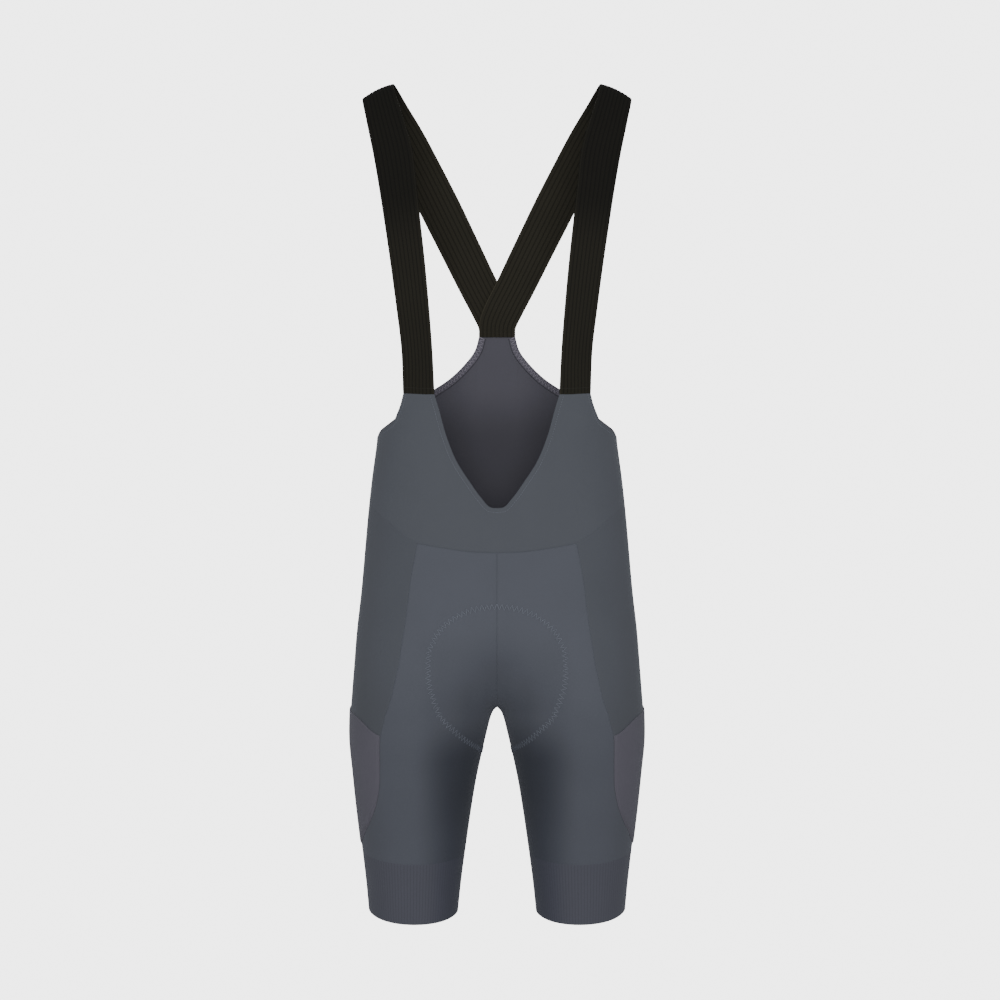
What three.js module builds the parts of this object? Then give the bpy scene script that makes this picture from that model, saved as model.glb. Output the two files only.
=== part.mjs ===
import * as THREE from 'three';

// Men's cycling bib shorts, size M, filled out as when worn, with nobody inside.
// Millimetres, +Z up. The front faces -Y and the wearer's left side is +X.
// The origin is where the shoulders carry the straps, midway between them.

// Driving sizes
const clothWall = 1.2;
const pocketWall = 1.0;
const tapeWall = 1.0;
const strapValley = 1.0;
const strapRidge = 0.4;
const strapRidges = 9;
const seamGap = 0.3;
const layGap = 0.3;
const padGap = 0.6;
const strapLayerGap = 0.4;
const bandHeight = 67;
const tapeWidth = 7;
const tapeDrop = 0.5;
const padEdge = 1.5;
const padMiddle = 8;
const padSideRamp = 1.8;
const padEndRamp = 3.2;

// Heights on the centre lines and at the side
const backTopHeight = -266;
const neckHeight = -464.5;
const sideWaistHeight = -456;
const frontWaistHeight = -513;
const backWaistHeight = -478;
const padFrontHeight = -571.1;
const padBackHeight = -552;
const crotchHeight = -689;
const padFootHeight = -736;
const sideFootHeight = -842;

// How the hem dips: lowest at the front and back of the leg
const hemHeight = -917.6;
const hemDip = 3.2;
const hemTilt = -1.6;

// Mesh counts along and across the pieces
const padColumns = 7;
const outerColumns = 5;
const frontColumns = padColumns + outerColumns;
const sideColumns = 5;
const necklineColumns = 8;
const tabColumns = 3;
const bibRows = 7;
const abovePadRows = 3;
const padCentreRows = 6;
const padInseamRows = 2;
const belowPadRows = 11;
const padRows = padCentreRows + padInseamRows;
const seamUpperRows = 9;
const seamLowerRows = 7;
const bandRows = 3;

// Torso sections: half width, and depth in front of and behind the side line
const torsoColumns = ['z', 'half', 'front', 'back'];
const torsoRows = [
  [-255, 122, 95, 105], [-300, 127, 96, 103], [-345, 131, 95, 99],
  [-385, 133.8, 93, 95], [-433, 140, 92, 90], [-470, 144, 93, 89],
  [-513, 147.8, 96, 93], [-560, 152, 98, 102], [-600, 156.6, 98, 111],
  [-640, 160, 96, 117], [-670, 162.5, 93, 117], [-700, 164.5, 90, 113],
  [-720, 164.6, 88, 108], [-760, 160.8, 82, 97], [-800, 156.5, 76.5, 87],
  [-840, 151.5, 71, 78.5], [-880, 146.7, 66, 71], [-925, 142.5, 61.5, 64.5],
];

// Leg sections: where the inner side lies, and the middle of the leg's depth
const legColumns = ['z', 'inner', 'mid'];
const legRows = [
  [-255, -12, 0], [-560, -24, 2], [-630, -13, 6], [-660, -3.5, 8],
  [-689, 5, 9], [-710, 10, 8], [-736, 16.2, 6.5], [-770, 23.5, 5],
  [-803, 29, 4], [-840, 34.4, 3], [-880, 39.8, 2.5], [-925, 44.6, 2],
];
const torsoPower = 2.25;
const legPower = 2.1;
const torsoToLegs = 110;
const crotchRounding = 20;
const farthest = 260;
const finePerLine = 60;
const finePerCentreLine = 400;

// The shoulder arch that the straps follow. q is the signed square root of the
// drop below the crest, minus in front, and depth is the strap's place there.
const archColumns = ['q', 'depth'];
const archRows = [
  [-19.4, -99], [-19, -101], [-17, -112], [-15, -118], [-13, -117], [-11, -108],
  [-9, -90], [-6.4, -63], [-3, -30], [0, 0], [4.4, 39], [6.6, 57], [9.2, 75],
  [11.5, 87], [13.6, 96], [15.2, 101], [17.3, 104.6],
];
const crestHeight = 29.7;
const crestFall = 0.0016;
const crownInner = 1.8;
const crownMiddle = 2.4;
const crownReach = 45;
const chestRound = 285;
const backRound = 500;
const archReach = 15;
const crossingTop = -120;
const crossingReach = 70;

// A strap's two edges on that arch, front end first: across and height, and
// how many steps of mesh lead to the row from the one before.
const strapColumns = ['side', 'inX', 'inZ', 'outX', 'outZ', 'steps'];
const strapRows = [
  [-1, 70.2, -294, 104.2, -292, 1], [-1, 73.8, -246, 110, -243.5, 1],
  [-1, 78.1, -199, 116.3, -197, 1], [-1, 82.5, -159, 122.3, -157, 1],
  [-1, 87, -120, 128.4, -118.5, 1], [-1, 92.6, -74.4, 136, -76.5, 2],
  [-1, 105.5, -28, 144.5, -36.5, 2], [0, 115.6, 8.4, 150.6, -6.6, 3],
  [1, 101, -10, 140, -27, 3], [1, 84.3, -36, 126.5, -51, 2],
  [1, 66, -69, 109.5, -83, 2], [1, 44.3, -110, 89, -125, 1],
  [1, 22, -155.6, 66.1, -169.5, 1], [1, 0, -201.3, 42.5, -215.5, 1],
  [1, -14, -229, 27.9, -243, 1], [1, -20.4, -247, 21.4, -257, 1],
];

// Seams and edges are lists of [u, z] on the skin of one half. u runs round
// from the centre front (0) over the outer side (0.5) to the centre back (1).
const waistFront = [[0, frontWaistHeight], [0.057, -512], [0.124, -508.3], [0.207, -503.1]];
const waistSideFront = [
  [0.207, -503.1], [0.261, -492.4], [0.324, -478.8], [0.441, -460.5], [0.5, sideWaistHeight],
];
const waistSideBack = [[0.5, sideWaistHeight], [0.6, -455], [0.7, -458]];
const waistBack = [[0.7, -458], [0.85, -470], [1, backWaistHeight]];
const neckline = [
  [0, neckHeight], [0.012, -464], [0.032, -454.2], [0.061, -436.3], [0.098, -412.7],
  [0.127, -385.4], [0.149, -354.6], [0.16, -341],
];
const tabTop = [[0.16, -341], [0.193, -340.8], [0.234, -339.9], [0.275, -339]];
const frontArmhole = [
  [0.275, -339], [0.289, -352], [0.304, -360.6], [0.319, -368.1],
  [0.359, -374.4], [0.397, -378.5], [0.468, -384.5], [0.511, -383.5],
];
const backArmhole = [
  [0.511, -383.5], [0.56, -377], [0.622, -370], [0.676, -361.5], [0.711, -353.9],
  [0.755, -344.2], [0.832, -327.9], [0.877, -316.6], [0.922, -298.9],
  [0.95, -281.2], [0.959, backTopHeight],
];
const backTop = [[0.959, backTopHeight], [1, backTopHeight]];
const sideBib = [[0.5, sideWaistHeight], [0.511, -383.5]];
const frontSeamUpper = [
  [0.207, -503.1], [0.219, -543.8], [0.221, -579.6], [0.226, -612.2],
  [0.234, -643.3], [0.27, -676], [0.2891, -684], [0.2968, -686.5], [0.3035, -688.2],
  [0.3104, -689], [0.3122, -694], [0.3145, -700], [0.3171, -706], [0.32, -712.3],
];
const frontSeamLower = [
  [0.32, -712.3], [0.321, -747.6], [0.326, -774.4], [0.344, -797.4], [0.369, -813.1],
];
const sideBottomFront = [[0.369, -813.1], [0.422, -830.5], [0.5, sideFootHeight]];
const sideBottomBack = [[0.5, sideFootHeight], [0.575, -834], [0.625, -815]];
const pocketMouth = [
  [0.32, -712.3], [0.34, -707.7], [0.359, -701.9], [0.388, -695.5],
  [0.442, -691.5], [0.54, -686], [0.66, -675],
];
const backSeamUpper = [[0.7, -458], [0.685, -540], [0.67, -620], [0.66, -675]];
const backSeamLower = [
  [0.66, -675], [0.6542, -682], [0.6493, -686], [0.6449, -688.2], [0.6401, -689],
  [0.6439, -696], [0.652, -712], [0.66, -740], [0.652, -785], [0.625, -815],
];
const lowSeamFoot = 0.5;
const padTopFront = [
  [0, padFrontHeight], [0.038, -573.3], [0.081, -582], [0.123, -598.3], [0.148, -618],
];
const padSideFront = [
  [0.148, -618], [0.154, -644.8], [0.176, -677.5], [0.1889, -684], [0.196, -686.5],
  [0.203, -688.2], [0.2123, -689], [0.2049, -694.5], [0.197, -699.8],
];
const padFootFront = [[0.197, -699.8], [0.157, -715.5], [0.066, -732.1], [0, padFootHeight]];
const padTopBack = [[1, padBackHeight], [0.95, -555], [0.89, -569], [0.85, -596]];
const padSideBack = [
  [0.85, -596], [0.825, -645], [0.8247, -662], [0.8193, -677], [0.8125, -684],
  [0.8079, -686.5], [0.8024, -688.2], [0.7934, -689], [0.815, -697],
];
const padFootBack = [[0.815, -697], [0.855, -716], [0.935, -732], [1, padFootHeight]];

// Looks of the cloths
const fabrics = {
  panel: { color: '#545760', roughness: 0.82 },
  chest: { color: '#51545b', roughness: 0.82 },
  back: { color: '#505058', roughness: 0.85 },
  side: { color: '#4f5259', roughness: 0.85 },
  mesh: { color: '#4d4d56', roughness: 0.9 },
  band: { color: '#4a4a54', roughness: 0.8 },
  elastic: { color: '#201f1b', roughness: 0.75 },
  tape: { color: '#5c5c66', roughness: 0.85 },
  pad: { color: '#43454c', roughness: 0.95 },
};

// Reads a table's rows as a smooth curve through them, by its first column.
function smoothTable(columns, rows) {
  const sorted = [...rows].sort((a, b) => a[0] - b[0]);
  const keys = sorted.map((row) => row[0]);
  const slopes = sorted.map((row, i) => columns.map((_, c) => {
    const before = sorted[Math.max(i - 1, 0)];
    const after = sorted[Math.min(i + 1, sorted.length - 1)];
    const low = i > 0 ? (row[c] - before[c]) / (row[0] - before[0]) : null;
    const high = i < sorted.length - 1 ? (after[c] - row[c]) / (after[0] - row[0]) : null;
    if (low === null) return high;
    if (high === null) return low;
    const lowSpan = row[0] - before[0];
    const highSpan = after[0] - row[0];
    return (low * highSpan + high * lowSpan) / (lowSpan + highSpan);
  }));
  return (key) => {
    let i = 0;
    while (i < keys.length - 2 && key > keys[i + 1]) i += 1;
    const span = keys[i + 1] - keys[i];
    const s = Math.min(Math.max((key - keys[i]) / span, 0), 1);
    const a = 2 * s ** 3 - 3 * s ** 2 + 1;
    const b = s ** 3 - 2 * s ** 2 + s;
    const c = -2 * s ** 3 + 3 * s ** 2;
    const d = s ** 3 - s ** 2;
    const read = {};
    columns.forEach((name, n) => {
      const from = sorted[i][n] * a + slopes[i][n] * span * b;
      read[name] = from + sorted[i + 1][n] * c + slopes[i + 1][n] * span * d;
    });
    return read;
  };
}

const torso = smoothTable(torsoColumns, torsoRows);
const leg = smoothTable(legColumns, legRows);
const arch = smoothTable(archColumns, archRows);

function smoothStep(x) {
  const s = Math.min(Math.max(x, 0), 1);
  return s * s * (3 - 2 * s);
}

// The skin's section at a height, with how much of it belongs to the two legs.
function sectionAt(z) {
  const { half, front, back } = torso(z);
  const { inner, mid } = leg(z);
  const legShare = 1 - smoothStep((z - crotchHeight) / torsoToLegs);
  return { z, half, front, back, inner, mid, legShare };
}

function ovalDistance(x, y, wide, deep, power) {
  return (Math.abs(x / wide) ** power + Math.abs(y / deep) ** power) ** (1 / power) - 1;
}

// Below 0 inside the garment, above 0 outside: one torso oval that turns into
// two leg ovals, joined by a rounded crotch.
function fieldAt(x, y, s) {
  const deep = y < 0 ? s.front : s.back;
  const body = ovalDistance(x, y, s.half, deep, torsoPower) * (s.half / 2 + (s.front + s.back) / 4);
  const centre = (s.inner + s.half) / 2;
  const wide = (s.half - s.inner) / 2;
  const fromMid = y - s.mid;
  const legDeep = fromMid < 0 ? s.front + s.mid : s.back - s.mid;
  const near = ovalDistance(x - centre, fromMid, wide, legDeep, legPower) * wide;
  const far = ovalDistance(x + centre, fromMid, wide, legDeep, legPower) * wide;
  const blend = Math.max(crotchRounding - Math.abs(near - far), 0) / crotchRounding;
  const legs = Math.min(near, far) - blend * blend * crotchRounding / 4;
  return (1 - s.legShare) * body + s.legShare * legs;
}

function crossing(inside, low, high) {
  let from = low;
  let to = high;
  for (let i = 0; i < 44; i += 1) {
    const middle = (from + to) / 2;
    if (inside(middle) > 0) to = middle;
    else from = middle;
  }
  return (from + to) / 2;
}

// A point of the skin, u from centre front to centre back and z its height.
function skinPoint(u, z) {
  const s = sectionAt(z);
  const centre = (s.inner + s.half) / 2;
  const above = z > crotchHeight;
  const depthTo = (sign) => crossing((r) => fieldAt(0, s.mid + sign * r, s), 0, farthest);
  const frontAngle = above ? Math.PI + Math.atan2(depthTo(-1), centre) : Math.PI;
  const backAngle = above ? Math.PI - Math.atan2(depthTo(1), centre) : Math.PI;
  const angle = u <= 0.5 ? frontAngle + (2 * Math.PI - frontAngle) * 2 * u : backAngle * (2 * u - 1);
  const across = Math.cos(angle);
  const along = Math.sin(angle);
  const reach = across < -1e-9 ? Math.min(farthest, -centre / across) : farthest;
  const r = crossing((d) => fieldAt(centre + d * across, s.mid + d * along, s), 0, reach);
  const onCentre = above && (u <= 0 || u >= 1);
  return new THREE.Vector3(onCentre ? 0 : centre + r * across, s.mid + r * along, z);
}

// The direction out of the cloth at a point of the skin.
function skinNormal(p) {
  const h = 0.05;
  const here = sectionAt(p.z);
  const dx = fieldAt(p.x + h, p.y, here) - fieldAt(p.x - h, p.y, here);
  const dy = fieldAt(p.x, p.y + h, here) - fieldAt(p.x, p.y - h, here);
  const dz = fieldAt(p.x, p.y, sectionAt(p.z + h)) - fieldAt(p.x, p.y, sectionAt(p.z - h));
  return new THREE.Vector3(dx, dy, dz).normalize();
}

// Divides the smooth line through [u, z] rows into equal lengths of cloth.
function traceLine(rows, count) {
  const places = rows.map(([u, z]) => skinPoint(u, z));
  const keyed = rows.map(([u, z], i) => [i ? places[i].distanceTo(places[i - 1]) : 0, u, z]);
  for (let i = 1; i < keyed.length; i += 1) keyed[i][0] += keyed[i - 1][0];
  const line = smoothTable(['length', 'u', 'z'], keyed);
  const total = keyed[keyed.length - 1][0];
  const fine = finePerLine;
  const samples = [];
  for (let i = 0; i <= fine; i += 1) {
    const { u, z } = line(total * i / fine);
    samples.push({ u, z, at: skinPoint(u, z) });
  }
  return divideEvenly(samples, count);
}

function divideEvenly(samples, count) {
  const lengths = [0];
  for (let i = 1; i < samples.length; i += 1) {
    lengths.push(lengths[i - 1] + samples[i].at.distanceTo(samples[i - 1].at));
  }
  const total = lengths[lengths.length - 1];
  const even = [];
  for (let k = 0; k <= count; k += 1) {
    const wanted = total * k / count;
    let i = 1;
    while (i < lengths.length - 1 && lengths[i] < wanted) i += 1;
    const share = (wanted - lengths[i - 1]) / (lengths[i] - lengths[i - 1]);
    const u = samples[i - 1].u + (samples[i].u - samples[i - 1].u) * share;
    const z = samples[i - 1].z + (samples[i].z - samples[i - 1].z) * share;
    even.push([u, z]);
  }
  return even;
}

// The centre seam, from a height down to the crotch, with samples by length.
function centreLine(u, top, bottom, count) {
  const samples = [];
  const fine = finePerCentreLine;
  for (let i = 0; i <= fine; i += 1) {
    const share = 1 - (1 - i / fine) ** 2;
    const z = top + (bottom - top) * share;
    samples.push({ u, z, at: skinPoint(u, z) });
  }
  return divideEvenly(samples, count);
}

function join(...lines) {
  return lines.reduce((all, line) => (all.length ? [...all, ...line.slice(1)] : [...line]), []);
}

function reversed(line) {
  return [...line].reverse();
}

// Fills the region between four lines of [u, z] that share their corners.
function fillPatch(top, bottom, left, right) {
  const rows = left.length - 1;
  const columns = top.length - 1;
  const grid = [];
  for (let i = 0; i <= rows; i += 1) {
    const t = i / rows;
    const line = [];
    for (let j = 0; j <= columns; j += 1) {
      const s = j / columns;
      const mix = (k) => (1 - s) * left[i][k] + s * right[i][k] + (1 - t) * top[j][k] + t * bottom[j][k]
        - (1 - s) * (1 - t) * top[0][k] - s * (1 - t) * top[columns][k]
        - (1 - s) * t * bottom[0][k] - s * t * bottom[columns][k];
      line.push([mix(0), mix(1)]);
    }
    grid.push(line);
  }
  return grid;
}

// Turns a grid of [u, z] into points on the skin with their outward direction.
function layOnSkin(grid) {
  return grid.map((line) => line.map(([u, z]) => {
    const at = skinPoint(u, z);
    return { at, out: skinNormal(at), base: at };
  }));
}

function acrossCentre(points) {
  return points.map((line) => {
    const other = line.map((p) => mirrored(p)).reverse();
    return line[0].at.x === 0 ? [...other.slice(0, -1), ...line] : [...line, ...other.slice(1)];
  });
}

function mirrored(p) {
  const flip = (v) => new THREE.Vector3(-v.x, v.y, v.z);
  return { at: flip(p.at), out: flip(p.out), base: flip(p.base) };
}

// Draws in the sides of a grid that are seams, by half of the gap at a seam.
// seams says for the top, right, bottom and left side whether it is a seam.
function drawInSeams(points, seams) {
  const rows = points.length - 1;
  const columns = points[0].length - 1;
  const ring = [];
  for (let j = 0; j < columns; j += 1) ring.push([0, j, seams.top]);
  for (let i = 0; i < rows; i += 1) ring.push([i, columns, seams.right]);
  for (let j = columns; j > 0; j -= 1) ring.push([rows, j, seams.bottom]);
  for (let i = rows; i > 0; i -= 1) ring.push([i, 0, seams.left]);
  const moved = ring.map(([i, j, seamAfter], k) => {
    const seamBefore = ring[(k + ring.length - 1) % ring.length][2];
    const here = points[i][j];
    const before = pointOf(points, ring[(k + ring.length - 1) % ring.length]);
    const after = pointOf(points, ring[(k + 1) % ring.length]);
    return drawnIn(here, before, after, seamBefore, seamAfter);
  });
  const result = points.map((line) => line.map((p) => ({ ...p })));
  ring.forEach(([i, j], k) => {
    result[i][j].at = moved[k];
  });
  return result;
}

function pointOf(points, [i, j]) {
  return points[i][j];
}

function drawnIn(here, before, after, seamBefore, seamAfter) {
  const half = seamGap / 2;
  const along1 = here.at.clone().sub(before.at).normalize();
  const along2 = after.at.clone().sub(here.at).normalize();
  const in1 = along1.clone().cross(here.out).normalize();
  const in2 = along2.clone().cross(here.out).normalize();
  if (seamBefore && seamAfter) {
    const step = in1.clone().add(in2).multiplyScalar(half / (1 + in1.dot(in2)));
    return here.at.clone().add(step);
  }
  if (seamBefore) return here.at.clone().addScaledVector(along2, half / along2.dot(in1));
  if (seamAfter) return here.at.clone().addScaledVector(along1, half / along1.dot(in2));
  return here.at.clone();
}

// A closed wall from grids of points: each has an outer and an inner place.
class Wall {
  constructor() {
    this.places = [];
    this.found = new Map();
    this.outer = [];
  }

  vertex({ outer, inner, base = outer }) {
    const key = [...outer.toArray(), ...inner.toArray()].map((v) => Math.round(v * 1000)).join();
    if (!this.found.has(key)) {
      this.found.set(key, this.places.length);
      this.places.push({ outer, inner, base });
    }
    return this.found.get(key);
  }

  // Adds a grid whose rows run down and whose columns run to the wearer's left
  // in front. Each point has an outer and an inner place.
  addGrid(grid, flipped = false) {
    const ids = grid.map((line) => line.map((p) => this.vertex(p)));
    for (let i = 0; i < ids.length - 1; i += 1) {
      for (let j = 0; j < ids[0].length - 1; j += 1) {
        const quad = [ids[i][j], ids[i + 1][j], ids[i + 1][j + 1], ids[i][j + 1]];
        this.addQuad(flipped ? quad.reverse() : quad);
      }
    }
  }

  // Splits a quad along its shorter diagonal, the same one in every layer.
  addQuad([a, b, c, d]) {
    const place = (id) => this.places[id].base;
    if (place(a).distanceTo(place(c)) < place(b).distanceTo(place(d)) + 0.01) {
      this.addTriangle(a, b, c);
      this.addTriangle(a, c, d);
    } else {
      this.addTriangle(a, b, d);
      this.addTriangle(b, c, d);
    }
  }

  addTriangle(a, b, c) {
    if (a === b || b === c || a === c) return;
    this.outer.push([a, b, c]);
  }

  geometry() {
    const count = this.places.length;
    const positions = new Float32Array(count * 6);
    this.places.forEach(({ outer, inner }, i) => {
      outer.toArray(positions, i * 3);
      inner.toArray(positions, (count + i) * 3);
    });
    const index = [];
    const edges = new Map();
    this.outer.forEach(([a, b, c]) => {
      index.push(a, b, c, count + a, count + c, count + b);
      [[a, b], [b, c], [c, a]].forEach(([p, q]) => edges.set(`${p},${q}`, [p, q]));
    });
    edges.forEach(([p, q]) => {
      if (edges.has(`${q},${p}`)) return;
      index.push(q, p, count + p, q, count + p, count + q);
    });
    const result = new THREE.BufferGeometry();
    result.setAttribute('position', new THREE.BufferAttribute(positions, 3));
    result.setIndex(index);
    result.computeVertexNormals();
    return result;
  }
}

// Gives each point its outer and inner place: lift off the skin, then a wall.
function thicken(points, wall, lift = 0) {
  return points.map((line) => line.map((p) => ({
    ...p,
    outer: p.at.clone().addScaledVector(p.out, lift),
    inner: p.at.clone().addScaledVector(p.out, lift - wall),
  })));
}

function mirrorGrid(grid) {
  const flip = (v) => new THREE.Vector3(-v.x, v.y, v.z);
  return grid.map((line) => line.map(({ outer, inner, base = outer }) => ({
    outer: flip(outer),
    inner: flip(inner),
    base: flip(base),
  })));
}

function wallOf(grids) {
  const wall = new Wall();
  grids.forEach(({ grid, flipped }) => wall.addGrid(grid, flipped));
  return wall.geometry();
}

// Shared seam lines
const seam = {
  waistFront: traceLine(waistFront, frontColumns),
  waistSideFront: traceLine(waistSideFront, sideColumns),
  waistSideBack: traceLine(waistSideBack, sideColumns),
  waistBack: traceLine(waistBack, frontColumns),
  neckline: traceLine(neckline, necklineColumns),
  tabTop: traceLine(tabTop, tabColumns),
  frontArmhole: traceLine(frontArmhole, frontColumns + sideColumns - necklineColumns - tabColumns),
  backArmhole: traceLine(backArmhole, frontColumns + sideColumns - tabColumns),
  backTop: traceLine(backTop, tabColumns),
  sideBib: traceLine(sideBib, bibRows),
  frontUpper: traceLine(frontSeamUpper, seamUpperRows),
  frontLower: traceLine(frontSeamLower, seamLowerRows),
  bottomFront: traceLine(sideBottomFront, sideColumns),
  bottomBack: traceLine(sideBottomBack, sideColumns),
  mouth: traceLine(pocketMouth, sideColumns * 2),
  backUpper: traceLine(backSeamUpper, seamUpperRows),
  backLower: traceLine(backSeamLower, seamLowerRows),
};

function hemAt(u) {
  return hemHeight + hemDip * Math.cos(4 * Math.PI * u) + hemTilt * Math.cos(2 * Math.PI * u);
}

function bandTopAt(u) {
  return hemAt(u) + bandHeight;
}

function levelLine(from, to, count, heightAt) {
  const line = [];
  for (let i = 0; i <= count; i += 1) {
    const u = from + (to - from) * i / count;
    line.push([u, heightAt(u)]);
  }
  return line;
}

const lowSeam = [[lowSeamFoot, sideFootHeight], [lowSeamFoot, bandTopAt(lowSeamFoot)]];
const bandTopFront = levelLine(0, lowSeamFoot, frontColumns, bandTopAt);
const bandTopBack = levelLine(lowSeamFoot, 1, frontColumns, bandTopAt);

// The pieces of the wearer's left half, as points with seams drawn in
function frontBibHalf() {
  const bottom = join(seam.waistFront, seam.waistSideFront);
  const top = join(seam.neckline, seam.tabTop, seam.frontArmhole);
  const centre = traceLine([[0, neckHeight], [0, frontWaistHeight]], bibRows);
  return layOnSkin(fillPatch(top, bottom, centre, reversed(seam.sideBib)));
}

function backBibHalf() {
  const bottom = join(seam.waistSideBack, seam.waistBack);
  const top = join(seam.backArmhole, seam.backTop);
  const centre = traceLine([[1, backTopHeight], [1, backWaistHeight]], bibRows);
  return layOnSkin(fillPatch(top, bottom, reversed(seam.sideBib), centre));
}

// A leg panel's grid from the centre seam and inseam out to the side panel. Its
// lines follow the pad's outline, so that the pad lies flat against the panel.
function legGrid({ u, waist, padTop, padSide, padFoot, outer, bandTop }) {
  const crown = padTop[0][1];
  const innerLow = padFoot[padFoot.length - 1][1];
  const above = traceLine([waist[0], [u, crown]], abovePadRows);
  const beside = join(
    centreLine(u, crown, crotchHeight, padCentreRows),
    levelDown(u, crotchHeight, innerLow, padInseamRows),
  );
  const below = levelDown(u, innerLow, bandTop[0][1], belowPadRows);
  const shoulder = padSide[0];
  const corner = padSide[padSide.length - 1];
  const padEndRow = abovePadRows + padRows;
  const head = traceLine(padTop, padColumns);
  const side = traceLine(padSide, padRows);
  const foot = reversed(traceLine(padFoot, padColumns));
  const overShoulder = traceLine([waist[padColumns], shoulder], abovePadRows);
  const fromShoulder = traceLine([shoulder, outer[abovePadRows]], outerColumns);
  const fromCorner = traceLine([corner, outer[padEndRow]], outerColumns);
  const underCorner = traceLine([corner, bandTop[padColumns]], belowPadRows);
  const bands = [
    [fillPatch(waist.slice(0, padColumns + 1), head, above, overShoulder),
      fillPatch(waist.slice(padColumns), fromShoulder, overShoulder, outer.slice(0, abovePadRows + 1))],
    [fillPatch(head, foot, beside, side),
      fillPatch(fromShoulder, fromCorner, side, outer.slice(abovePadRows, padEndRow + 1))],
    [fillPatch(foot, bandTop.slice(0, padColumns + 1), below, underCorner),
      fillPatch(fromCorner, bandTop.slice(padColumns), underCorner, outer.slice(padEndRow))],
  ];
  const sideBySide = bands.map(([inside, outside]) => inside.map((line, i) => join(line, outside[i])));
  return layOnSkin(sideBySide.reduce((all, rows) => (all.length ? [...all, ...rows.slice(1)] : rows), []));
}

function levelDown(u, top, bottom, count) {
  const line = [];
  for (let i = 0; i <= count; i += 1) line.push([u, top + (bottom - top) * i / count]);
  return line;
}

const frontLeg = legGrid({
  u: 0,
  waist: seam.waistFront,
  padTop: padTopFront,
  padSide: padSideFront,
  padFoot: padFootFront,
  outer: join(seam.frontUpper, seam.frontLower, seam.bottomFront, lowSeam),
  bandTop: bandTopFront,
});

const backLeg = legGrid({
  u: 1,
  waist: reversed(seam.waistBack),
  padTop: padTopBack,
  padSide: padSideBack,
  padFoot: padFootBack,
  outer: join(seam.backUpper, seam.backLower, reversed(seam.bottomBack), lowSeam),
  bandTop: reversed(bandTopBack),
});

function sidePanelGrids() {
  const top = join(seam.waistSideFront, seam.waistSideBack);
  const bottom = join(seam.bottomFront, seam.bottomBack);
  const upper = fillPatch(top, seam.mouth, seam.frontUpper, seam.backUpper);
  const lower = fillPatch(seam.mouth, bottom, seam.frontLower, seam.backLower);
  return { whole: layOnSkin([...upper, ...lower.slice(1)]), lower: layOnSkin(lower) };
}

function bandPoints() {
  const count = frontColumns * 2;
  const grid = [];
  for (let i = 0; i <= bandRows; i += 1) {
    const drop = bandHeight * i / bandRows + (i === 0 ? seamGap / 2 : 0);
    grid.push(levelLine(0, 1, count, (u) => bandTopAt(u) - drop));
  }
  return layOnSkin(grid);
}

// One piece across the centre from a half, seams drawn in all but at the centre.
function bothHalves(half, openSides) {
  const whole = acrossCentre(half);
  return drawInSeams(whole, openSides);
}

// The strap's place on the shoulder arch, and the way out from the body there.
function archPoint(side, x, z) {
  const drop = Math.max(crestHeight - crestFall * x * x - z, 0);
  const q = side * Math.sqrt(drop);
  const round = x * x * smoothStep(Math.abs(q) / archReach);
  const depth = arch(q).depth;
  return new THREE.Vector3(x, side <= 0 ? depth + round / chestRound : depth - round / backRound, z);
}

function strapEdges() {
  const at = (side, x, z) => (side === 0 ? new THREE.Vector3(x, 0, crestHeight - crestFall * x * x)
    : archPoint(side, x, z));
  const rows = strapRows.map((row) => Object.fromEntries(row.map((value, i) => [strapColumns[i], value])));
  return rows.map((row) => ({
    inner: at(row.side, row.inX, row.inZ),
    outer: at(row.side, row.outX, row.outZ),
    steps: row.steps,
  }));
}

// How far a shoulder raises the strap's middle at the crest, across its width.
function crownAt(share) {
  return crownInner * (1 - share) + crownMiddle * 4 * share * (1 - share);
}

// The strap's rows of points across, from the tab in front to the back panel.
// The last row is drawn in by inset where this strap lies inside the other one.
function strapPoints(frontEnd, backEnd, inset) {
  const raised = new THREE.Vector3(0, 0, seamGap);
  const edges = strapEdges();
  const first = {
    inner: frontEnd[0].at.clone().add(raised),
    outer: frontEnd[tabColumns].at.clone().add(raised),
  };
  const last = {
    inner: backEnd[0].at.clone().add(raised),
    outer: backEnd[1].at.clone().add(raised),
    steps: 1,
  };
  const all = [first, ...edges, last];
  const innerCurve = new THREE.CatmullRomCurve3(all.map((e) => e.inner), false, 'centripetal');
  const outerCurve = new THREE.CatmullRomCurve3(all.map((e) => e.outer), false, 'centripetal');
  const columns = strapRidges * 2;
  const rows = [];
  const addRow = (share) => {
    const inner = innerCurve.getPoint(share);
    const outer = outerCurve.getPoint(share);
    const line = [];
    for (let j = 0; j <= columns; j += 1) {
      const at = inner.clone().lerp(outer, j / columns);
      at.z += crownAt(j / columns) * (1 - smoothStep(Math.abs(at.y) / crownReach));
      line.push(at);
    }
    rows.push(line);
  };
  addRow(0);
  all.slice(1).forEach(({ steps }, i) => {
    for (let k = 1; k <= steps; k += 1) addRow((i + k / steps) / (all.length - 1));
  });
  return rows.map((line, i) => line.map((at, j) => {
    const next = rows[Math.min(i + 1, rows.length - 1)][j];
    const before = rows[Math.max(i - 1, 0)][j];
    const along = next.clone().sub(before);
    const across = line[columns].clone().sub(line[0]);
    const out = across.cross(along).normalize();
    const crossed = at.y > 0 ? smoothStep((crossingTop - at.z) / crossingReach) : 0;
    const level = archPoint(1, at.x, at.z);
    return { at: at.clone().lerp(level, crossed).addScaledVector(out, -inset * crossed), out };
  }));
}

function strapGrid(points) {
  return points.map((line) => line.map((p, j) => ({
    ...p,
    outer: p.at.clone().addScaledVector(p.out, j % 2 ? strapRidge : 0),
    inner: p.at.clone().addScaledVector(p.out, -strapValley),
  })));
}

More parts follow.
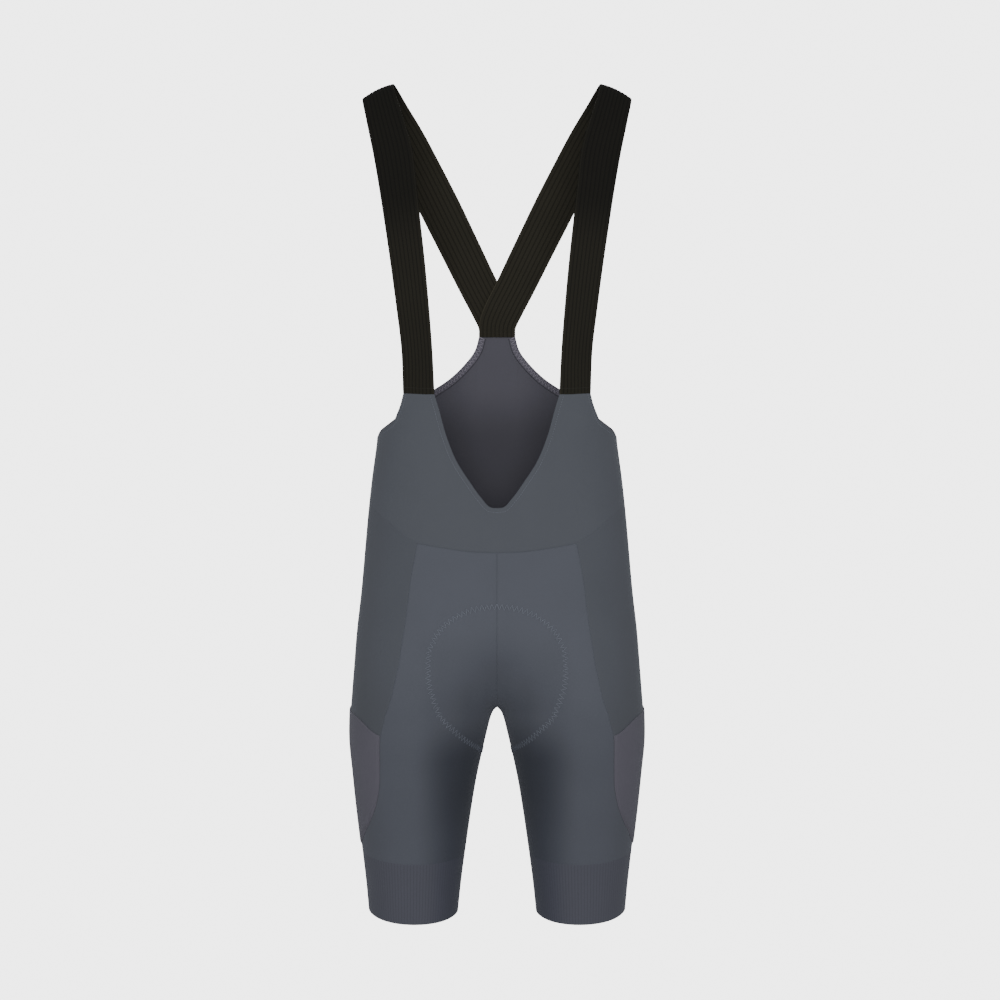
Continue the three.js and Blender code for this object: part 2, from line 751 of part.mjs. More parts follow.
// The tape that lies on the back panel's inner face along its upper edge.
function tapeGrid(panel) {
  const columns = frontColumns + sideColumns - tabColumns;
  const top = panel[0].slice(0, columns + 1);
  const below = panel[1].slice(0, columns + 1);
  const downBy = (distance) => below.map((p, j) => {
    const from = inward(top[j]);
    const to = inward(p);
    return from.clone().lerp(to, distance / from.distanceTo(to));
  });
  return [downBy(tapeDrop), downBy(tapeDrop + tapeWidth)].map((line) => line.map((at, j) => ({
    outer: at,
    inner: at.clone().addScaledVector(top[j].out, -tapeWall),
  })));
}

function inward(p) {
  return p.at.clone().addScaledVector(p.out, -clothWall - layGap);
}

// The pad's quarter is the part of a leg panel's grid within its outline.
function padQuarter(legPoints) {
  const rows = legPoints.slice(abovePadRows, abovePadRows + padRows + 1);
  return rows.map((line) => line.slice(0, padColumns + 1));
}

// Thickest in the middle, thin along the outline, under the body's weight.
function padGrid(points) {
  const rows = points.length - 1;
  const columns = points[0].length - 1;
  return points.map((line, i) => line.map((p, j) => {
    const fromSide = smoothStep((columns - j) / columns * padSideRamp);
    const fromEnds = smoothStep(Math.min(i, rows - i) / rows * padEndRamp);
    const thick = padEdge + (padMiddle - padEdge) * fromSide * fromEnds;
    return {
      base: p.base,
      outer: p.at.clone().addScaledVector(p.out, -clothWall - padGap),
      inner: p.at.clone().addScaledVector(p.out, -clothWall - padGap - thick),
    };
  }));
}

const garment = new THREE.Group();

function addPiece(name, fabric, grids) {
  const { color, roughness } = fabrics[fabric];
  const material = new THREE.MeshStandardMaterial({ color, roughness, metalness: 0 });
  const piece = new THREE.Mesh(wallOf(grids), material);
  piece.name = name;
  garment.add(piece);
}

// The same piece on the wearer's left and, mirrored, on the right.
function addPair(name, fabric, grid) {
  addPiece(`${name}_left`, fabric, [{ grid }]);
  addPiece(`${name}_right`, fabric, [{ grid: mirrorGrid(grid), flipped: true }]);
}

const frontHalf = frontBibHalf();
const backHalf = backBibHalf();
const bibSides = { top: false, right: true, bottom: true, left: true };
const frontBib = bothHalves(frontHalf, bibSides);
const backBib = bothHalves(backHalf, bibSides);
addPiece('front_bib', 'chest', [{ grid: thicken(frontBib, clothWall) }]);
addPiece('back_bib', 'back', [{ grid: thicken(backBib, clothWall) }]);

const closedSides = { top: true, right: true, bottom: true, left: true };
addPair('front_leg', 'panel', thicken(drawInSeams(frontLeg, closedSides), clothWall));
const backLegOutward = backLeg.map((line) => reversed(line));
addPair('back_leg', 'panel', thicken(drawInSeams(backLegOutward, closedSides), clothWall));

const sides = sidePanelGrids();
addPair('side_panel', 'side', thicken(drawInSeams(sides.whole, closedSides), clothWall));
const pocketSides = { top: false, right: true, bottom: true, left: true };
const pocket = drawInSeams(sides.lower, pocketSides);
addPair('pocket', 'mesh', thicken(pocket, pocketWall, layGap + pocketWall));

addPair('leg_band', 'band', thicken(bandPoints(), clothWall));

addPair('edge_tape', 'tape', tapeGrid(backBib));

const frontEnd = frontHalf[0].slice(necklineColumns, necklineColumns + tabColumns + 1);
const backMiddle = backHalf[0].slice(-1 - tabColumns);
const backEdge = backMiddle[0];
const backEnd = [mirrored(backEdge), backEdge];
const strapInset = strapValley + strapRidge + strapLayerGap;
const underStrap = strapGrid(strapPoints(frontEnd, backEnd, 0));
const overStrap = strapGrid(strapPoints(frontEnd, backEnd, strapInset));
addPiece('strap_left', 'elastic', [{ grid: overStrap, flipped: true }]);
addPiece('strap_right', 'elastic', [{ grid: mirrorGrid(underStrap) }]);

const padFront = padGrid(padQuarter(frontLeg));
const padBack = padGrid(padQuarter(backLeg));
addPiece('seat_pad', 'pad', [
  { grid: padFront },
  { grid: mirrorGrid(padFront), flipped: true },
  { grid: padBack, flipped: true },
  { grid: mirrorGrid(padBack) },
]);

export default garment;
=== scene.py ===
"""Looks of the cycling bib shorts: each sewn piece as fine cloth, its thread and the studio."""

import logging
import math
from dataclasses import dataclass, field
from enum import Enum
from typing import Callable, Sequence

import bpy
import numpy as np
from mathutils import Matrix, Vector


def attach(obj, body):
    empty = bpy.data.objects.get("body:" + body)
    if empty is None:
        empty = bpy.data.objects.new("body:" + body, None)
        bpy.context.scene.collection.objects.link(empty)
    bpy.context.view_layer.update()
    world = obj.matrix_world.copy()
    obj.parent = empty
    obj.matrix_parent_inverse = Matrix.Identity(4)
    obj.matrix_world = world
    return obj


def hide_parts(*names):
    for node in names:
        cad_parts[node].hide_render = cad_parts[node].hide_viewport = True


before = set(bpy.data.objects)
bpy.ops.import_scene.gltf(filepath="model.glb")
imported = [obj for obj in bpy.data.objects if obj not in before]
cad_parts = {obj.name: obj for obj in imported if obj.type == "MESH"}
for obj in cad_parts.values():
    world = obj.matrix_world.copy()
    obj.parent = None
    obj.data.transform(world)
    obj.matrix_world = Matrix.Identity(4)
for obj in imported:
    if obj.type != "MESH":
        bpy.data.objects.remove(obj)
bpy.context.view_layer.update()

log = logging.getLogger("bib_shorts")

MM = 0.001

# Driving sizes, as in the CAD, in millimetres
CLOTH_WALL = 1.2
POCKET_WALL = 1.0
TAPE_WALL = 1.0
STRAP_VALLEY = 1.0
STRAP_RIDGE = 0.4
STRAP_RIDGES = 9
STRAP_WIDTH = 42.0
SEAM_DIP = 0.5
BONDED_DIP = 0.1
SEAM_REACH = 1.5
SEAM_LAP = 0.06
SEAM_DRAW = 0.06
BONDED_DRAW = 0.01
SEAM_FLAT_START = 84.0
SEAM_FLAT_REACH = 8.0
EDGE_ROUND = 0.8
FOLD_DEPTH = 4.2
FOLD_ROW = 4.9
LAY_GAP = 0.3
PAD_GAP = 0.6
STRAP_LAYER_GAP = 0.4
STRAP_HEM = 6.5
STRAP_END_DROP = 0.2
STRAP_END_REACH = 30.0
STRAP_STEP = 3.2
BAND_HEIGHT = 67.0
TAPE_WIDTH = 7.0
TAPE_DROP = 0.5
PAD_EDGE = 1.5
PAD_MIDDLE = 8.0
PAD_SIDE_RAMP = 1.8
PAD_END_RAMP = 3.2

# Heights on the centre lines and at the side
BACK_TOP = -266.0
NECK = -464.5
FRONT_WAIST = -513.0
BACK_WAIST = -478.0
CROTCH = -689.0
SIDE_FOOT = -842.0
HEM_HEIGHT = -917.6
HEM_DIP = 3.2
HEM_TILT = -1.6

# The CAD's mesh counts, which say how the lines share out between pieces
PAD_COLUMNS = 7
OUTER_COLUMNS = 5
FRONT_COLUMNS = PAD_COLUMNS + OUTER_COLUMNS
SIDE_COLUMNS = 5
BIB_COLUMNS = FRONT_COLUMNS + SIDE_COLUMNS
NECKLINE_COLUMNS = 8
TAB_COLUMNS = 3
BIB_ROWS = 7
ABOVE_PAD_ROWS = 3
PAD_CENTRE_ROWS = 6
PAD_INSEAM_ROWS = 2
BELOW_PAD_ROWS = 11
PAD_ROWS = PAD_CENTRE_ROWS + PAD_INSEAM_ROWS
SEAM_UPPER_ROWS = 9
SEAM_LOWER_ROWS = 7
BAND_ROWS = 3

# The finer columns to each of the CAD's
FINE_COLUMNS = 6

# About how long the sides of the patches are, to set the rows beside a seam
FRONT_BIB_DOWN = 90.0
BACK_BIB_DOWN = 140.0
PAD_ACROSS = 100.0
OUTER_ACROSS = 70.0
ABOVE_PAD_DOWN = 90.0
PAD_DOWN = 200.0
BELOW_PAD_DOWN = 120.0
SIDE_ACROSS = 110.0
SIDE_UPPER_DOWN = 230.0
SIDE_LOWER_DOWN = 150.0

# Torso sections: height, half width, depth in front of and behind the side line
TORSO_ROWS = (
    (-255, 122, 95, 105), (-300, 127, 96, 103), (-345, 131, 95, 99), (-385, 133.8, 93, 95),
    (-433, 140, 92, 90), (-470, 144, 93, 89), (-513, 147.8, 96, 93), (-560, 152, 98, 102),
    (-600, 156.6, 98, 111), (-640, 160, 96, 117), (-670, 162.5, 93, 117), (-700, 164.5, 90, 113),
    (-720, 164.6, 88, 108), (-760, 160.8, 82, 97), (-800, 156.5, 76.5, 87), (-840, 151.5, 71, 78.5),
    (-880, 146.7, 66, 71), (-925, 142.5, 61.5, 64.5),
)
# Leg sections: height, inner edge's distance from the middle plane, and how far back it lies
LEG_ROWS = (
    (-255, -12, 0), (-560, -24, 2), (-630, -13, 6), (-660, -3.5, 8), (-689, 5, 9), (-710, 10, 8),
    (-736, 16.2, 6.5), (-770, 23.5, 5), (-803, 29, 4), (-840, 34.4, 3), (-880, 39.8, 2.5), (-925, 44.6, 2),
)
TORSO_POWER = 2.25
LEG_POWER = 2.1
TORSO_TO_LEGS = 110.0
CROTCH_ROUNDING = 20.0
FARTHEST = 260.0

# The shoulder arch seen from the side: way along it and depth
ARCH_ROWS = (
    (-19.4, -99), (-19, -101), (-17, -112), (-15, -118), (-13, -117), (-11, -108), (-9, -90), (-6.4, -63),
    (-3, -30), (0, 0), (4.4, 39), (6.6, 57), (9.2, 75), (11.5, 87), (13.6, 96), (15.2, 101), (17.3, 104.6),
)
CREST_HEIGHT = 29.7
CREST_FALL = 0.0016
CROWN_INNER = 1.8
CROWN_MIDDLE = 2.4
CROWN_REACH = 45.0
ARCH_REACH = 15.0
CHEST_ROUND = 285.0
BACK_ROUND = 500.0
CROSSING_TOP = -120.0
CROSSING_REACH = 70.0

# The strap's two edges: side of the body, inner edge, outer edge
STRAP_ROWS = (
    (-1, 70.2, -294, 104.2, -292), (-1, 73.8, -246, 110, -243.5), (-1, 78.1, -199, 116.3, -197),
    (-1, 82.5, -159, 122.3, -157), (-1, 87, -120, 128.4, -118.5), (-1, 92.6, -74.4, 136, -76.5),
    (-1, 105.5, -28, 144.5, -36.5), (0, 115.6, 8.4, 150.6, -6.6), (1, 101, -10, 140, -27),
    (1, 84.3, -36, 126.5, -51), (1, 66, -69, 109.5, -83), (1, 44.3, -110, 89, -125),
    (1, 22, -155.6, 66.1, -169.5), (1, 0, -201.3, 42.5, -215.5), (1, -14, -229, 27.9, -243),
    (1, -20.4, -247, 21.4, -257),
)

# Seams and edges on the skin: u from centre front to centre back, and height
WAIST_FRONT = ((0, -513), (0.057, -512), (0.124, -508.3), (0.207, -503.1))
WAIST_SIDE_FRONT = ((0.207, -503.1), (0.261, -492.4), (0.324, -478.8), (0.441, -460.5), (0.5, -456))
WAIST_SIDE_BACK = ((0.5, -456), (0.6, -455), (0.7, -458))
WAIST_BACK = ((0.7, -458), (0.85, -470), (1, -478))
NECKLINE = ((0, -464.5), (0.012, -464), (0.032, -454.2), (0.061, -436.3), (0.098, -412.7), (0.127, -385.4),
            (0.149, -354.6), (0.16, -341))
TAB_TOP = ((0.16, -341), (0.193, -340.8), (0.234, -339.9), (0.275, -339))
FRONT_ARMHOLE = ((0.275, -339), (0.289, -352), (0.304, -360.6), (0.319, -368.1), (0.359, -374.4),
                 (0.397, -378.5), (0.468, -384.5), (0.511, -383.5))
BACK_ARMHOLE = ((0.511, -383.5), (0.56, -377), (0.622, -370), (0.676, -361.5), (0.711, -353.9),
                (0.755, -344.2), (0.832, -327.9), (0.877, -316.6), (0.922, -298.9), (0.95, -281.2),
                (0.959, -266))
BACK_TOP_LINE = ((0.959, -266), (1, -266))
SIDE_BIB = ((0.5, -456), (0.511, -383.5))
FRONT_SEAM_UPPER = ((0.207, -503.1), (0.219, -543.8), (0.221, -579.6), (0.226, -612.2), (0.234, -643.3),
                    (0.27, -676), (0.2891, -684), (0.2968, -686.5), (0.3035, -688.2), (0.3104, -689),
                    (0.3122, -694), (0.3145, -700), (0.3171, -706), (0.32, -712.3))
FRONT_SEAM_LOWER = ((0.32, -712.3), (0.321, -747.6), (0.326, -774.4), (0.344, -797.4), (0.369, -813.1))
SIDE_BOTTOM_FRONT = ((0.369, -813.1), (0.422, -830.5), (0.5, -842))
SIDE_BOTTOM_BACK = ((0.5, -842), (0.575, -834), (0.625, -815))
POCKET_MOUTH = ((0.32, -712.3), (0.34, -707.7), (0.359, -701.9), (0.388, -695.5), (0.442, -691.5),
                (0.54, -686), (0.66, -675))
BACK_SEAM_UPPER = ((0.7, -458), (0.685, -540), (0.67, -620), (0.66, -675))
BACK_SEAM_LOWER = ((0.66, -675), (0.6542, -682), (0.6493, -686), (0.6449, -688.2), (0.6401, -689),
                   (0.6439, -696), (0.652, -712), (0.66, -740), (0.652, -785), (0.625, -815))
PAD_TOP_FRONT = ((0, -571.1), (0.038, -573.3), (0.081, -582), (0.123, -598.3), (0.148, -618))
PAD_SIDE_FRONT = ((0.148, -618), (0.154, -644.8), (0.176, -677.5), (0.1889, -684), (0.196, -686.5),
                  (0.203, -688.2), (0.2123, -689), (0.2049, -694.5), (0.197, -699.8))
PAD_FOOT_FRONT = ((0.197, -699.8), (0.157, -715.5), (0.066, -732.1), (0, -736))
PAD_TOP_BACK = ((1, -552), (0.95, -555), (0.89, -569), (0.85, -596))
PAD_SIDE_BACK = ((0.85, -596), (0.825, -645), (0.8247, -662), (0.8193, -677), (0.8125, -684),
                 (0.8079, -686.5), (0.8024, -688.2), (0.7934, -689), (0.815, -697))
PAD_FOOT_BACK = ((0.815, -697), (0.855, -716), (0.935, -732), (1, -736))
PAD_FRONT = (PAD_TOP_FRONT, PAD_SIDE_FRONT, PAD_FOOT_FRONT)
PAD_BACK = (PAD_TOP_BACK, PAD_SIDE_BACK, PAD_FOOT_BACK)


class Border(Enum):
    """How a side of a cut piece is finished."""

    SEAM = "sewn to its neighbour"
    BONDED = "joined flat to its neighbour, hardly seen"
    FOLD = "folded edge, free"
    RAW = "bonded edge, free"
    NONE = "not a side of the piece"


class SmoothTable:
    """A table's rows read as a smooth curve by their first column."""

    def __init__(self, rows: Sequence[Sequence[float]]) -> None:
        """Sorts the rows and works out the slope at each."""
        table = np.array(sorted(rows), float)
        self.keys = table[:, 0]
        self.values = table[:, 1:]
        spans = np.diff(self.keys)
        rise = np.diff(self.values, axis=0) / spans[:, None]
        self.slopes = np.empty_like(self.values)
        self.slopes[0], self.slopes[-1] = rise[0], rise[-1]
        low, high = spans[:-1, None], spans[1:, None]
        self.slopes[1:-1] = (rise[:-1] * high + rise[1:] * low) / (low + high)

    def read(self, keys: np.ndarray) -> np.ndarray:
        """Reads the curve.

        Args:
            keys: places along the first column, of any shape.

        Returns:
            The other columns there, along a last axis.
        """
        keys = np.asarray(keys, float)
        i = np.clip(np.searchsorted(self.keys, keys) - 1, 0, len(self.keys) - 2)
        span = self.keys[i + 1] - self.keys[i]
        s = np.clip((keys - self.keys[i]) / span, 0, 1)[..., None]
        span = span[..., None]
        start = (2 * s**3 - 3 * s**2 + 1) * self.values[i] + (s**3 - 2 * s**2 + s) * span * self.slopes[i]
        end = (3 * s**2 - 2 * s**3) * self.values[i + 1] + (s**3 - s**2) * span * self.slopes[i + 1]
        return start + end


def smooth_step(x: np.ndarray) -> np.ndarray:
    """Returns 0 below 0, 1 above 1 and an even S between."""
    s = np.clip(x, 0, 1)
    return s * s * (3 - 2 * s)


def unit(vectors: np.ndarray) -> np.ndarray:
    """Returns the vectors at length 1."""
    return vectors / np.maximum(np.linalg.norm(vectors, axis=-1, keepdims=True), 1e-12)


def crossing(inside: Callable[[np.ndarray], np.ndarray], reach: np.ndarray) -> np.ndarray:
    """Finds where a ray leaves the garment.

    Args:
        inside: below 0 inside and above 0 outside, at a distance along each ray.
        reach: how far each ray may run.

    Returns:
        The distance along each ray.
    """
    low, high = np.zeros_like(reach), reach.copy()
    for _ in range(34):
        middle = (low + high) / 2
        out = inside(middle) > 0
        high = np.where(out, middle, high)
        low = np.where(out, low, middle)
    return (low + high) / 2


class Skin:
    """The garment's outer face: one torso oval that turns into two leg ovals."""

    def __init__(self) -> None:
        """Reads the section tables."""
        self.torso = SmoothTable(TORSO_ROWS)
        self.leg = SmoothTable(LEG_ROWS)

    def section(self, z: np.ndarray) -> tuple[np.ndarray, ...]:
        """Returns half width, front and back depth, inner edge, its depth and the legs' share.

        Args:
            z: height.

        Returns:
            Each of the six, of the same shape as the heights.
        """
        half, front, back = np.moveaxis(self.torso.read(z), -1, 0)
        inner, mid = np.moveaxis(self.leg.read(z), -1, 0)
        return half, front, back, inner, mid, 1 - smooth_step((z - CROTCH) / TORSO_TO_LEGS)

    def value(self, x: np.ndarray, y: np.ndarray, at: tuple[np.ndarray, ...]) -> np.ndarray:
        """Measures how far outside the skin a point is.

        Args:
            x: across.
            y: from front to back.
            at: the section at the point's height.

        Returns:
            Below 0 inside, above 0 outside.
        """
        half, front, back, inner, mid, legs_share = at

        def oval(across: np.ndarray, along: np.ndarray, power: float) -> np.ndarray:
            """Returns an oval's value, 0 on it."""
            return (np.abs(across) ** power + np.abs(along) ** power) ** (1 / power) - 1

        deep = np.where(y < 0, front, back)
        body = oval(x / half, y / deep, TORSO_POWER) * (half / 2 + (front + back) / 4)
        centre, wide = (inner + half) / 2, (half - inner) / 2
        along = (y - mid) / np.where(y < mid, front + mid, back - mid)
        near = oval((x - centre) / wide, along, LEG_POWER) * wide
        far = oval((x + centre) / wide, along, LEG_POWER) * wide
        blend = np.maximum(CROTCH_ROUNDING - np.abs(near - far), 0) / CROTCH_ROUNDING
        legs = np.minimum(near, far) - blend * blend * CROTCH_ROUNDING / 4
        return (1 - legs_share) * body + legs_share * legs

    def turn(self, places: np.ndarray) -> np.ndarray:
        """Changes u to the angle round the leg's middle.

        Args:
            places: u and height along the last axis, u from 0 to 1.

        Returns:
            Angle and height, the angle below 0 in front and above 0 behind.
        """
        u, z = places[..., 0], places[..., 1]
        at = self.section(z)
        half, _, _, inner, mid, _ = at
        centre = (inner + half) / 2
        above = z > CROTCH
        full = np.full_like(z, FARTHEST)
        front = crossing(lambda r: self.value(0 * z, mid - r, at), full)
        back = crossing(lambda r: self.value(0 * z, mid + r, at), full)
        front_angle = np.where(above, np.arctan2(front, centre), 0) - math.pi
        back_angle = math.pi - np.where(above, np.arctan2(back, centre), 0)
        return np.stack([np.where(u <= 0.5, front_angle * (1 - 2 * u), back_angle * (2 * u - 1)), z], -1)

    def points(self, places: np.ndarray) -> np.ndarray:
        """Finds points of the skin.

        Args:
            places: angle and height along the last axis.

        Returns:
            x, y and z along the last axis.
        """
        angle, z = places[..., 0], places[..., 1]
        at = self.section(z)
        half, _, _, inner, mid, _ = at
        centre = (inner + half) / 2
        across, along = np.cos(angle), np.sin(angle)
        reach = np.where(across < -1e-9, np.minimum(FARTHEST, centre / np.maximum(-across, 1e-9)), FARTHEST)
        r = crossing(lambda d: self.value(centre + d * across, mid + d * along, at), reach)
        x = centre + r * across
        return np.stack([np.where(np.abs(x) < 1e-4, 0, x), mid + r * along, z], -1)

    def slope(self, points: np.ndarray) -> np.ndarray:
        """Returns how fast the value grows in x, y and z.

        Args:
            points: of the skin or near it.

        Returns:
            The slope at each point.
        """
        x, y, z = np.moveaxis(points, -1, 0)
        h = 0.05
        here, up, down = self.section(z), self.section(z + h), self.section(z - h)
        return np.stack([
            self.value(x + h, y, here) - self.value(x - h, y, here),
            self.value(x, y + h, here) - self.value(x, y - h, here),
            self.value(x, y, up) - self.value(x, y, down),
        ], -1) / (2 * h)

    def normals(self, points: np.ndarray) -> np.ndarray:
        """Returns the direction out of the cloth at points of the skin."""
        return unit(self.slope(points))

    def settle(self, points: np.ndarray) -> np.ndarray:
        """Returns points near the skin, moved onto it.

        Args:
            points: x, y and z along the last axis.

        Returns:
            The points on the skin.
        """
        for _ in range(4):
            slope = self.slope(points)
            x, y, z = np.moveaxis(points, -1, 0)
            value = self.value(x, y, self.section(z))
            points = points - slope * (value / np.maximum((slope**2).sum(-1), 1e-9))[..., None]
        return points


SKIN = Skin()


def travelled(points: np.ndarray) -> np.ndarray:
    """Returns the length along a line at each of its points."""
    return np.concatenate([[0], np.cumsum(np.linalg.norm(np.diff(points, axis=0), axis=1))])


@dataclass(frozen=True)
class Line:
    """A line on the skin, read by its share of the length."""

    places: np.ndarray
    shares: np.ndarray
    length: float

    @classmethod
    def through(cls, places: np.ndarray) -> "Line":
        """Returns the line through [angle, z] places, shared out by length of cloth."""
        lengths = travelled(SKIN.points(places))
        return cls(places, lengths / lengths[-1], float(lengths[-1]))

    @classmethod
    def trace(cls, rows: Sequence[Sequence[float]]) -> "Line":
        """Returns the smooth line through a table's [u, z] rows.

        Args:
            rows: of the table, in order.

        Returns:
            The line.
        """
        keys = travelled(SKIN.points(SKIN.turn(np.array(rows, float))))
        table = SmoothTable([(key, *row) for key, row in zip(keys, rows)])
        places = SKIN.turn(table.read(np.linspace(0, keys[-1], 401)))
        return cls.through(cls.eased(places, np.linspace(0, keys[-1], 401)))

    @staticmethod
    def eased(places: np.ndarray, lengths: np.ndarray, reach: float = 5.0) -> np.ndarray:
        """Takes the waver out of a line where it passes the crotch's height.

        Args:
            places: [angle, z] along the line.
            lengths: how far along each place is.
            reach: length over which places are averaged.

        Returns:
            The eased places.
        """
        weights = np.exp(-((lengths[:, None] - lengths[None]) / reach) ** 2)
        smooth = weights @ places / weights.sum(axis=1, keepdims=True)
        from_ends = np.minimum(lengths, lengths[-1] - lengths)
        share = np.exp(-((places[:, 1] - CROTCH) / 16) ** 2) * smooth_step(from_ends / (2 * reach))
        return places + (smooth - places) * share[:, None]

    @classmethod
    def between(cls, start: np.ndarray, end: np.ndarray) -> "Line":
        """Returns the straight way between two [angle, z] places."""
        return cls.through(start + (end - start) * np.linspace(0, 1, 201)[:, None])

    @classmethod
    def centre(cls, u: float, top: float, bottom: float) -> "Line":
        """Returns the centre seam from a height down to the crotch."""
        share = 1 - (1 - np.linspace(0, 1, 601)) ** 2
        return cls.through(SKIN.turn(np.stack([np.full_like(share, u), top + (bottom - top) * share], -1)))

    @classmethod
    def level(cls, heights: Callable[[np.ndarray], np.ndarray], start: float, end: float) -> "Line":
        """Returns a line round the body, shared out by u.

        Args:
            heights: gives the height at each u.
            start: the first u.
            end: the last u.

        Returns:
            The line.
        """
        u = np.linspace(start, end, 201)
        places = SKIN.turn(np.stack([u, heights(u)], -1))
        return cls(places, np.linspace(0, 1, 201), float(travelled(SKIN.points(places))[-1]))

    @classmethod
    def down(cls, u: float, top: float, bottom: float) -> "Line":
        """Returns a line straight down, shared out by height."""
        z = np.linspace(top, bottom, 61)
        return cls(SKIN.turn(np.stack([np.full_like(z, u), z], -1)), np.linspace(0, 1, 61), abs(bottom - top))

    def at(self, shares: np.ndarray) -> np.ndarray:
        """Returns the [angle, z] places at shares of the line."""
        return np.stack([np.interp(shares, self.shares, self.places[:, k]) for k in (0, 1)], -1)

    def reversed(self) -> "Line":
        """Returns the line from its end to its start."""
        return Line(self.places[::-1], 1 - self.shares[::-1], self.length)


@dataclass(frozen=True)
class Chain:
    """Lines that follow each other, each with its count of CAD columns or rows."""

    links: tuple[tuple[Line, int], ...]
    start: float = 0.0
    end: float = 1.0

    @property
    def count(self) -> int:
        """Returns the CAD count of the whole chain."""
        return sum(count for _, count in self.links)

    @property
    def length(self) -> float:
        """Returns the length of cloth between start and end."""
        return sum(line.length for line, _ in self.links) * (self.end - self.start)

    def at(self, shares: np.ndarray) -> np.ndarray:
        """Returns the [angle, z] places at shares of the part from start to end.

        Args:
            shares: of the part, from 0 to 1.

        Returns:
            The places along a last axis.
        """
        whole = (self.start + (self.end - self.start) * shares) * self.count
        result = np.zeros(shares.shape + (2,))
        passed = 0
        for line, count in self.links:
            here = (whole >= passed - 1e-9) & (whole <= passed + count + 1e-9)
            result[here] = line.at(np.clip((whole[here] - passed) / count, 0, 1))
            passed += count
        return result

    def part(self, start: int, end: int) -> "Chain":
        """Returns the part between two CAD columns or rows."""
        return Chain(self.links, start / self.count, end / self.count)

    def reversed(self) -> "Chain":
        """Returns the chain from its end to its start."""
        links = tuple((line.reversed(), count) for line, count in reversed(self.links))
        return Chain(links, 1 - self.end, 1 - self.start)


def chain(*links: tuple[Line, int]) -> Chain:
    """Returns the lines as one chain."""
    return Chain(tuple(links))


def shares_of(count: int, per: int, length: float, fine_start: bool, fine_end: bool) -> np.ndarray:
    """Shares out a side of a patch, closer together beside a seam.

    Args:
        count: CAD columns or rows along the side.
        per: how many fine ones to each.
        length: the side's length.
        fine_start: whether the start is a side of the piece.
        fine_end: whether the end is.

    Returns:
        The shares, from 0 to 1.
    """
    close = np.array([0.35, 0.75, 1.25, 1.9, 2.8]) / length
    even = np.arange(count * per + 1) / (count * per)
    keep = np.ones(len(even), bool)
    corners = np.arange(len(even)) % per == 0
    if fine_start:
        keep &= (even > close[-1] * 1.3) | (even == 0) | (corners & (even > close[-1]))
    if fine_end:
        keep &= (even < 1 - close[-1] * 1.3) | (even == 1) | (corners & (even < 1 - close[-1]))
    parts = [even[keep]] + ([close] if fine_start else []) + ([1 - close] if fine_end else [])
    return np.unique(np.concatenate(parts))


def fill_patch(sides: Sequence[Line | Chain], across: np.ndarray, down: np.ndarray) -> np.ndarray:
    """Fills the region between four lines that share their corners.

    Args:
        sides: the top, bottom, left and right line.
        across: shares of the columns.
        down: shares of the rows.

    Returns:
        A grid of [angle, z] places.
    """
    top, bottom = (side.at(across)[None] for side in sides[:2])
    left, right = (side.at(down)[:, None] for side in sides[2:])
    ends = np.array([0.0, 1.0])
    (top_left, top_right), (low_left, low_right) = sides[0].at(ends), sides[1].at(ends)
    s, t = across[None, :, None], down[:, None, None]
    return ((1 - s) * left + s * right + (1 - t) * top + t * bottom
            - (1 - s) * (1 - t) * top_left - s * (1 - t) * top_right
            - (1 - s) * t * low_left - s * t * low_right)


def distance_to(points: np.ndarray, line: np.ndarray) -> np.ndarray:
    """Measures how far points are from a line in space.

    Args:
        points: x, y and z along the last axis.
        line: the line's points in order.

    Returns:
        The distance of each point.
    """
    flat = points.reshape(-1, 3)
    nearest = np.full(len(flat), np.inf)
    for start, end in zip(line[:-1], line[1:]):
        along = end - start
        size = along @ along
        if size < 1e-12:
            continue
        share = np.clip((flat - start) @ along / size, 0, 1)
        away = flat - start - share[:, None] * along
        nearest = np.minimum(nearest, np.einsum("ij,ij->i", away, away))
    return np.sqrt(nearest).reshape(points.shape[:-1])


